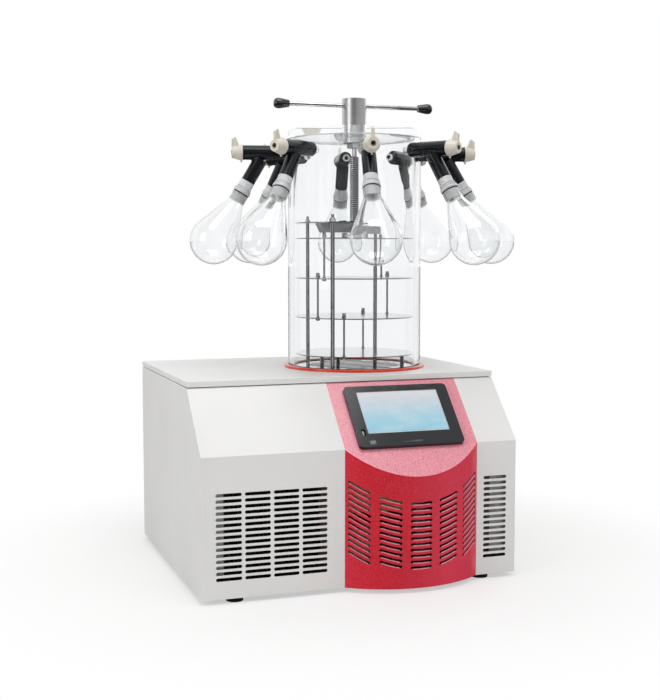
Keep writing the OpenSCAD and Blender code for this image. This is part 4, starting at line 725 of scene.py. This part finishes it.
def flask_wall(neck, bulb, first):
    """Outline of one flask surface from first along the neck to the bottom of the bulb."""
    reach = math.hypot(neck, BULB_AT - NECK_L)
    tangent = math.degrees(math.atan2(NECK_L - BULB_AT, neck) + math.acos(bulb / reach))
    round_part = arc((0, BULB_AT), bulb, tangent, 90.0, 40)
    corner, start = (neck, NECK_L), round_part[0]
    points = [(neck, first), (neck, NECK_L - 5)]
    bend = ((neck, NECK_L - 4), (neck + 0.1, NECK_L + 3), between(corner, start, BEND))
    for k in range(1, 12):
        t = k / 12
        shares = ((1 - t) ** 2, 2 * t * (1 - t), t * t)
        points.append(tuple(sum(s * p[i] for s, p in zip(shares, bend)) for i in (0, 1)))
    for k in range(1, 5):
        points.append(between(corner, start, BEND + (1 - BEND) * k / 5))
    return points + round_part[:-1] + [(0, BULB_AT + bulb)]


def make_flasks():
    """Round flasks of clear glass with ground necks."""
    outer = flask_wall(NECK_R, BULB_R, 1.0)
    inner = flask_wall(NECK_BORE_R, BULB_R - WALL, 0.8)[::-1]
    lip = [(NECK_BORE_R + 0.5, 0.15), (NECK_BORE_R + 1.1, 0.0), (NECK_R - 0.5, 0.15)]
    outline = outer + inner + lip
    ground = ((0, 3, 1), (len(outer) + len(inner) - 3, len(outline), 1))
    mesh = lathe_mesh("flask", outline, parts=ground)
    for number in PORTS:
        obj = finish_mesh(f"flask_{number}", mesh.copy(), "clear_glass", "ground_glass")
        settle(obj, branch_frame(number, MOUTH))
        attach(obj, "base")
        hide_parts("flasks")


make_flasks()


# ---------- joint adapters and knob inserts ----------

# Outlines as (radius, height) in mm: the adapter along its branch, the bush from the knob's face.
ADAPTER = (
    (4.2, 45), (9, 45), (9, 65), (13.1, 65), (13.6, 65.2), (13.8, 65.7), (13.8, 75.6),
    (14.2, 76.6), (14.9, 77.2), (15.2, 77.9), (15.0, 78.6), (14.3, 79.1), (14.0, 79.7),
    (14.2, 80.4), (15.4, 81.0), (16.0, 81.6), (16.1, 82.4), (15.7, 83.0), (15.2, 83.4),
    (15.2, 84.0), (16.0, 84.3), (16.8, 84.8), (17.0, 85.6), (17.0, 88.2), (16.8, 89.1),
    (16.2, 89.8), (15.4, 90.0), (14.4, 90.0), (14.4, 92.0), (13.3, 92.0), (12.0, 108.0),
    (9.1, 108.0), (9.1, 83.0), (4.2, 83.0),
)
SEAL_R, SEAL_AT, SEAL_CORD_R = 15.0, 91.05, 0.93
BUSH = (
    (2.2, -7.0), (3.15, -7.0), (3.15, 0.02), (4.5, 0.02), (4.8, 0.14), (4.8, 0.30),
    (4.5, 0.42), (3.9, 0.30), (3.0, -0.6), (2.4, -1.6), (2.2, -3.0),
)


def make_adapters():
    """Frosted joint adapters with beads and grooves, and the black rings at the flasks' mouths."""
    ring = arc((SEAL_R, SEAL_AT), SEAL_CORD_R, 0, 345, 15)
    for number in PORTS:
        body = finish_mesh(f"adapter_{number}", lathe_mesh("adapter", ADAPTER, 72), "frosted")
        cord = lathe_mesh("joint_seal", ring, 72)
        seal = finish_mesh(f"joint_seal_{number}", cord, "black_rubber")
        for obj in (body, seal):
            sharpen(obj, 35)
            settle(obj, branch_frame(number))
            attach(obj, "base")
        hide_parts("joint_adapters")


def make_knob_inserts():
    """Brown bush with a countersunk rim in the outer face of each knob."""
    outward = Matrix.Translation((KNOB_END * MM, 0, 0)) @ Matrix.Rotation(math.pi / 2, 4, "Y")
    for number in PORTS:
        obj = finish_mesh(f"knob_bush_{number}", lathe_mesh("knob_bush", BUSH, 48), "brown_insert")
        sharpen(obj)
        settle(obj, port_frame(number) @ outward)
        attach(obj, f"valve_knob_{number}")


make_adapters()
make_knob_inserts()


# ---------- valve bodies ----------

# The body along the port, its branch, and the bores for nipple, knob plug and adapter stem.
VALVE_R, VALVE_FROM, VALVE_TO = 14.0, 130.5, 218.0
VALVE_SOFT_END, VALVE_CHAMFER = 6, 0.8
BRANCH_R, BRANCH_ROOT = 13.5, 14.5
NIPPLE_BORE_R, NIPPLE_END = 7.05, 156
PLUG_BORE_R, PLUG_END = 8.1, 200
STEM_BORE_R, STEM_END = 9.05, 45
PASSAGE_R = 4
FILLET = 2.2


def fillet_rows(steps=96, around=6):
    """Rows of a rolling-ball fillet between body and branch, in the port's frame, in mm."""
    r1, r2 = VALVE_R + FILLET, BRANCH_R + FILLET
    down = Vector((math.sin(LEAN), 0, -math.cos(LEAN)))
    across = Vector((-math.cos(LEAN), 0, -math.sin(LEAN)))
    rows = []
    for k in range(steps):
        turn = 2 * math.pi * k / steps
        side = across * math.cos(turn) + Vector((0, 1, 0)) * math.sin(turn)
        y = r2 * math.sin(turn)
        depth = math.sqrt(r1 * r1 - y * y) - r2 * math.cos(turn) * math.sin(LEAN)
        ball = Vector((BRANCH_FROM_AXIS, 0, 0)) + down * (depth / math.cos(LEAN)) + side * r2
        body = Vector((0, ball.y, ball.z)).normalized()
        rows.append([ball - body.slerp(side, n / around) * FILLET for n in range(around + 1)])
    return rows


def valve_mesh():
    """Rubber T-piece: a round body with a soft inner end, a branch, and the fillet between them."""
    soft_end = (VALVE_R - VALVE_SOFT_END, VALVE_FROM + VALVE_SOFT_END)
    body = [(NIPPLE_BORE_R, NIPPLE_END), (NIPPLE_BORE_R, VALVE_FROM)]
    body += arc(soft_end, VALVE_SOFT_END, -90, 0, 10)
    body += [(VALVE_R, VALVE_TO - VALVE_CHAMFER), (VALVE_R - VALVE_CHAMFER, VALVE_TO)]
    body += [(PLUG_BORE_R, VALVE_TO), (PLUG_BORE_R, PLUG_END)]
    body += [(PASSAGE_R, PLUG_END), (PASSAGE_R, NIPPLE_END)]
    branch = [(STEM_BORE_R, STEM_END), (PASSAGE_R, STEM_END), (PASSAGE_R, BRANCH_ROOT)]
    branch += [(BRANCH_R, BRANCH_ROOT), (BRANCH_R, BRANCH_END - VALVE_CHAMFER)]
    branch += [(BRANCH_R - VALVE_CHAMFER, BRANCH_END), (STEM_BORE_R, BRANCH_END)]
    work = bmesh.new()
    for outline, place in ((body, Matrix.Rotation(math.pi / 2, 4, "Y")), (branch, branch_place())):
        part = lathe_mesh("part", outline)
        part.transform(place)
        work.from_mesh(part)
        bpy.data.meshes.remove(part)
    rows = [[work.verts.new(point * MM) for point in row] for row in fillet_rows()]
    for row, after in zip(rows, rows[1:] + rows[:1]):
        for n in range(len(row) - 1):
            work.faces.new((row[n], after[n], after[n + 1], row[n + 1]))
    mesh = bpy.data.meshes.new("valve_body")
    work.to_mesh(mesh)
    work.free()
    return mesh


def make_valves():
    """One rubber valve body on each port."""
    mesh = valve_mesh()
    for number in PORTS:
        obj = finish_mesh(f"valve_body_{number}", mesh.copy(), "black_rubber")
        sharpen(obj, 38)
        settle(obj, port_frame(number))
        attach(obj, "base")
        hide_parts("valve_bodies")


make_valves()


# ---------- screws of the back panel ----------

RECESS_HALF_W, RECESS_HALF_L, RECESS_DEPTH = 0.55, 2.2, 0.9
SCREW_INSET = 0.012


def screw_mesh():
    """Pan-head screw with a shallow cross recess cut into its dome, in mm."""
    outline = [(0, -1.0), (3.3, -1.0), (3.4, 0.0)] + arc((0.4, 0), 3.0, 4, 80, 8) + [(0, 3.0)]
    mesh = lathe_mesh("screw_head", outline, 48, False)
    for vertex in mesh.vertices:
        x, y, z = vertex.co / MM
        vertex.co.z = min(z, 1.5 + 0.25 * z) * MM
        near, far = sorted((abs(x), abs(y)))
        if z > 0.2 and near < RECESS_HALF_W and far < RECESS_HALF_L:
            vertex.co.z -= RECESS_DEPTH * MM
    return mesh


def make_back_screws():
    """Screws along the edges of the back panel: at its corners and at the middle of each edge."""
    low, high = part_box("back_panel")
    mesh = screw_mesh()
    left, right = low.x + SCREW_INSET, high.x - SCREW_INSET
    bottom, top = low.z + SCREW_INSET, high.z - SCREW_INSET
    spots = [(x, z) for x in (left, (low.x + high.x) / 2, right) for z in (bottom, top)]
    spots += [(x, (low.z + high.z) / 2) for x in (left, right)]
    for number, (x, z) in enumerate(spots, 1):
        obj = finish_mesh(f"back_screw_{number}", mesh.copy(), "screw_zinc")
        settle(obj, Matrix.Translation((x, high.y, z)) @ Matrix.Rotation(-math.pi / 2, 4, "X"))
        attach(obj, "base")


make_back_screws()


# ---------- screen surround ----------

def face_frame(node):
    """Frame of a node's outermost face on the slant, and its width and height.

    X runs right, Y up the slant and Z out of it.
    """
    mesh = cad[node].data
    faces = {}
    for polygon in mesh.polygons:
        if polygon.normal.y < -0.4 and polygon.normal.z > 0.4:
            corner = mesh.vertices[polygon.vertices[0]].co
            faces.setdefault(round((corner @ polygon.normal) / MM, 1), []).append(polygon)
    outer = faces[max(faces)]
    out = outer[0].normal.copy()
    right = Vector((1, 0, 0))
    up = out.cross(right)
    points = [mesh.vertices[v].co for polygon in outer for v in polygon.vertices]
    low_x, high_x = min(p @ right for p in points), max(p @ right for p in points)
    low_y, high_y = min(p @ up for p in points), max(p @ up for p in points)
    middle = right * (low_x + high_x) / 2 + up * (low_y + high_y) / 2
    matrix = Matrix((right, up, out)).transposed().to_4x4()
    matrix.translation = middle + out * (points[0] @ out)
    return matrix, high_x - low_x, high_y - low_y


def bar_mesh(name, bars, bevel):
    """Boxes in mm as (low x, low y, low z, high x, high y, high z), with softened edges."""
    work = bmesh.new()
    for bar in bars:
        low, high = Vector(bar[:3]), Vector(bar[3:])
        for vertex in bmesh.ops.create_cube(work, size=1.0)["verts"]:
            share = vertex.co + Vector((0.5, 0.5, 0.5))
            vertex.co = (low + share * (high - low)) * MM
    bmesh.ops.bevel(work, geom=work.edges[:], offset=bevel * MM, segments=2, affect="EDGES")
    mesh = bpy.data.meshes.new(name)
    work.to_mesh(mesh)
    work.free()
    return mesh


LINE_W, LINE_OUT = 1.3, 0.25


def make_screen_details():
    """A white line round the screen, and on the bezel a socket tongue, a plate and a window."""
    screen, width, height = face_frame("hmi_screen")
    w, h = width / MM / 2 - 0.3, height / MM / 2 - 0.3
    inner_w, inner_h = w - LINE_W, h - LINE_W
    line = ((-w, inner_h, 0, w, h, LINE_OUT), (-w, -h, 0, w, -inner_h, LINE_OUT),
            (-w, -inner_h, 0, -inner_w, inner_h, LINE_OUT),
            (inner_w, -inner_h, 0, w, inner_h, LINE_OUT))
    bezel, wide, tall = face_frame("hmi_bezel")
    left, low = -wide / MM / 2, -tall / MM / 2
    tongue = (left + 12.2, low + 26.0, -7.0, left + 14.6, low + 36.0, -2.0)
    window = (left + 20, low + 5.0, -0.4, left + 31, low + 13.0, 0.12)
    plate = (-19, low + 4.6, -0.4, 19, low + 9.4, 0.30)
    for name, bars, bevel, material, place in (
            ("screen_line", line, 0.05, "white_line", screen),
            ("socket_tongue", (tongue,), 0.2, "white_line", bezel),
            ("bezel_plate", (plate,), 0.15, "grey_plate", bezel),
            ("bezel_window", (window,), 0.1, "window", bezel)):
        obj = finish_mesh(name, bar_mesh(name, bars, bevel), material)
        settle(obj, place)
        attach(obj, "base")


make_screen_details()


# ---------- lead screw ----------

ROOT_R, CREST_R, PITCH = 8.0, 10.0, 4.0
# Ridge of the thread as (radius, offset in pitches). Its foot lies inside the core.
FOOT_R = ROOT_R - 0.4
RIDGE = ((FOOT_R, -0.23), (ROOT_R, -0.21), (CREST_R, -0.10), (CREST_R, 0.10), (ROOT_R, 0.21),
         (FOOT_R, 0.23))
THREAD_SEGMENTS, RUN_OUT, THREAD_MARGIN = 48, 12, 2
SCREW_FOOT_R, SCREW_FOOT_H, SCREW_NECK_R = 11, 3, 7
SCREW_BORE_R, SCREW_BORE_L, SCREW_CHAMFER = 5.2, 66, 0.8


def thread_mesh(bottom, top):
    """A helical ridge that fades out at both ends, heights in mm."""
    turns = (top - THREAD_MARGIN - bottom - THREAD_MARGIN) / PITCH
    steps = int(turns * THREAD_SEGMENTS)
    mesh = bpy.data.meshes.new("thread")
    work = bmesh.new()
    rows = []
    for k in range(steps + 1):
        a = 2 * math.pi * k / THREAD_SEGMENTS
        z = bottom + THREAD_MARGIN + PITCH * k / THREAD_SEGMENTS
        fade = min(1.0, k / RUN_OUT, (steps - k) / RUN_OUT)
        row = []
        for radius, offset in RIDGE:
            r = FOOT_R + (radius - FOOT_R) * fade
            spot = (r * math.cos(a), r * math.sin(a), z + offset * PITCH)
            row.append(work.verts.new(Vector(spot) * MM))
        rows.append(row)
    for first, second in zip(rows, rows[1:]):
        for k in range(len(RIDGE) - 1):
            work.faces.new((first[k], first[k + 1], second[k + 1], second[k]))
    bmesh.ops.recalc_face_normals(work, faces=work.faces)
    work.to_mesh(mesh)
    work.free()
    return mesh


def make_lead_screw():
    """A bored core with its foot in the thrust pad, and the thread round it."""
    low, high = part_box("lead_screw")
    foot, top = low.z / MM, high.z / MM
    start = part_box("thrust_pad")[1].z / MM + 0.3
    core = [(0, foot), (SCREW_FOOT_R, foot), (SCREW_FOOT_R, foot + SCREW_FOOT_H),
            (SCREW_NECK_R, foot + SCREW_FOOT_H), (SCREW_NECK_R, start), (ROOT_R, start),
            (ROOT_R, top - SCREW_CHAMFER), (ROOT_R - SCREW_CHAMFER, top), (SCREW_BORE_R, top),
            (SCREW_BORE_R, top - SCREW_BORE_L), (0, top - SCREW_BORE_L)]
    # A near black core under a light ridge: painted shade in the thread's roots and painted
    # highlights on the ridge.
    body = finish_mesh("screw_core", lathe_mesh("screw_core", core, 64, False), "dark_steel")
    sharpen(body)
    ridge = finish_mesh("screw_thread", thread_mesh(start, top), "thread_steel")
    sharpen(ridge, 30)
    for obj in (body, ridge):
        settle(obj, Matrix.Translation((AXIS_X, AXIS_Y, 0)))
        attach(obj, "screw")
    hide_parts("lead_screw")


make_lead_screw()


# ---------- lights, floor and camera ----------

# Level directions from the object: toward the camera, and to the right as the camera sees it.
FRONT, RIGHT = (-0.34, -0.94, 0), (0.94, -0.34, 0)
# Greys that gloss sees in front of the object, from the camera's left (-1) to its right (1).
FRONT_BANDS = ((-1.0, 0.80), (-0.86, 0.12), (-0.62, 0.75), (-0.30, 0.12), (0.0, 0.16), (1.0, 0.9))
AMBIENT_COLOUR, AMBIENT = (1.0, 0.995, 0.985, 1.0), 0.60


def make_world():
    """Even light all round. The camera and glass see white, and gloss sees grey bands in front."""
    world = bpy.data.worlds.new("studio")
    bpy.context.scene.world = world
    world.use_nodes = True
    tree = world.node_tree
    tree.nodes.clear()

    def background(colour, strength=1.0):
        return wire(tree, "ShaderNodeBackground", colour, strength).outputs[0]

    coordinate = wire(tree, "ShaderNodeTexCoord").outputs["Generated"]
    front = vector_maths(tree, "DOT_PRODUCT", coordinate, FRONT)
    right = vector_maths(tree, "DOT_PRODUCT", coordinate, RIGHT)
    stops = [((position + 1) / 2, (grey, grey, grey)) for position, grey in FRONT_BANDS]
    bands = ramp(tree, maths(tree, "MULTIPLY_ADD", right, 0.5, 0.5), stops)
    facing = maths(tree, "MULTIPLY_ADD", front, 2.5, 0.35, clamp=True)
    reflected = background(blend(tree, facing, (1.0, 1.0, 1.0), bands))
    direct, glossy = rays(tree)
    lit = mix_shaders(tree, glossy, background(AMBIENT_COLOUR, AMBIENT), reflected)
    seen = mix_shaders(tree, direct, lit, background((1.0, 1.0, 1.0, 1.0)))
    wire(tree, "ShaderNodeOutputWorld", seen)


FLOOR_R, FLOOR_DROP = 40.0, 0.0002
# Share of plain white in the floor, near the object and far from it, and both distances in m.
FADE_NEAR, FADE_FAR, NEAR_AT, FAR_AT = 0.50, 1.0, 0.36, 0.85
MIRRORED_FLOOR = (0.08, 0.08, 0.08, 1.0)


def make_floor():
    """A plain pale floor: real shadows near the object, melting into white further out.

    Glossy surfaces see it as an even dark grey.
    """
    work = bmesh.new()
    bmesh.ops.create_circle(work, cap_ends=True, segments=128, radius=FLOOR_R)
    mesh = bpy.data.meshes.new("floor")
    work.to_mesh(mesh)
    work.free()
    floor = bpy.data.objects.new("floor", mesh)
    bpy.context.scene.collection.objects.link(floor)
    floor.location.z = -FLOOR_DROP
    f = Finish("floor")
    f.tones(f.noise(3.0), (0.90, 0.90, 0.895), (0.92, 0.92, 0.915))
    f.set(Roughness=0.9, Specular_IOR_Level=0.1)
    distance = vector_maths(f.tree, "LENGTH", f.place)
    white = f.span(distance, FADE_NEAR, FADE_FAR, NEAR_AT, FAR_AT)
    white.node.interpolation_type = "SMOOTHSTEP"
    direct, glossy = rays(f.tree)
    faded = mix_shaders(f.tree, maths(f.tree, "MULTIPLY", white, direct), f.shader.outputs[0],
                        wire(f.tree, "ShaderNodeEmission").outputs[0])
    mirrored = maths(f.tree, "SUBTRACT", glossy, direct, clamp=True)
    grey = wire(f.tree, "ShaderNodeEmission", MIRRORED_FLOOR).outputs[0]
    surface = mix_shaders(f.tree, mirrored, faded, grey)
    f.tree.links.new(surface, f.tree.nodes["Material Output"].inputs["Surface"])
    mesh.materials.append(f.material)


# Name, place, target, size and power of each lamp, in m and W.
LAMPS = (
    ("overhead", (-0.15, -0.55, 2.1), (0.0, 0.0, 0.4), (1.5, 1.0), 14.5),
    ("left", (-2.6, -0.8, 1.2), (0.0, 0.0, 0.4), (1.0, 1.6), 14.5),
    ("back_right", (1.8, 1.2, 1.6), (0.0, 0.0, 0.6), (0.8, 1.4), 5.0),
)


def make_lamps():
    for name, place, target, size, power in LAMPS:
        light = bpy.data.lights.new(name, "AREA")
        light.shape = "RECTANGLE"
        light.size, light.size_y = size
        light.energy = power
        obj = bpy.data.objects.new(name, light)
        bpy.context.scene.collection.objects.link(obj)
        obj.location = place
        direction = Vector(target) - Vector(place)
        obj.rotation_euler = direction.to_track_quat("-Z", "Y").to_euler()


CAMERA_AT = (-0.8035, -2.2374, 0.6007)
CAMERA_LENS, CAMERA_SENSOR = 62.32, 36.0
CAMERA_TILT, CAMERA_TURN = math.radians(90 - 4.74), math.radians(-19.28)


def make_camera():
    """The photograph's view: a little left of the front and slightly above the worktop."""
    camera = bpy.data.cameras.new("camera")
    camera.lens = CAMERA_LENS
    camera.sensor_width = CAMERA_SENSOR
    obj = bpy.data.objects.new("camera", camera)
    bpy.context.scene.collection.objects.link(obj)
    obj.location = CAMERA_AT
    obj.rotation_euler = (CAMERA_TILT, 0, CAMERA_TURN)
    bpy.context.scene.camera = obj


make_world()
make_floor()
make_lamps()
make_camera()
bpy.context.scene.view_settings.view_transform = "Standard"
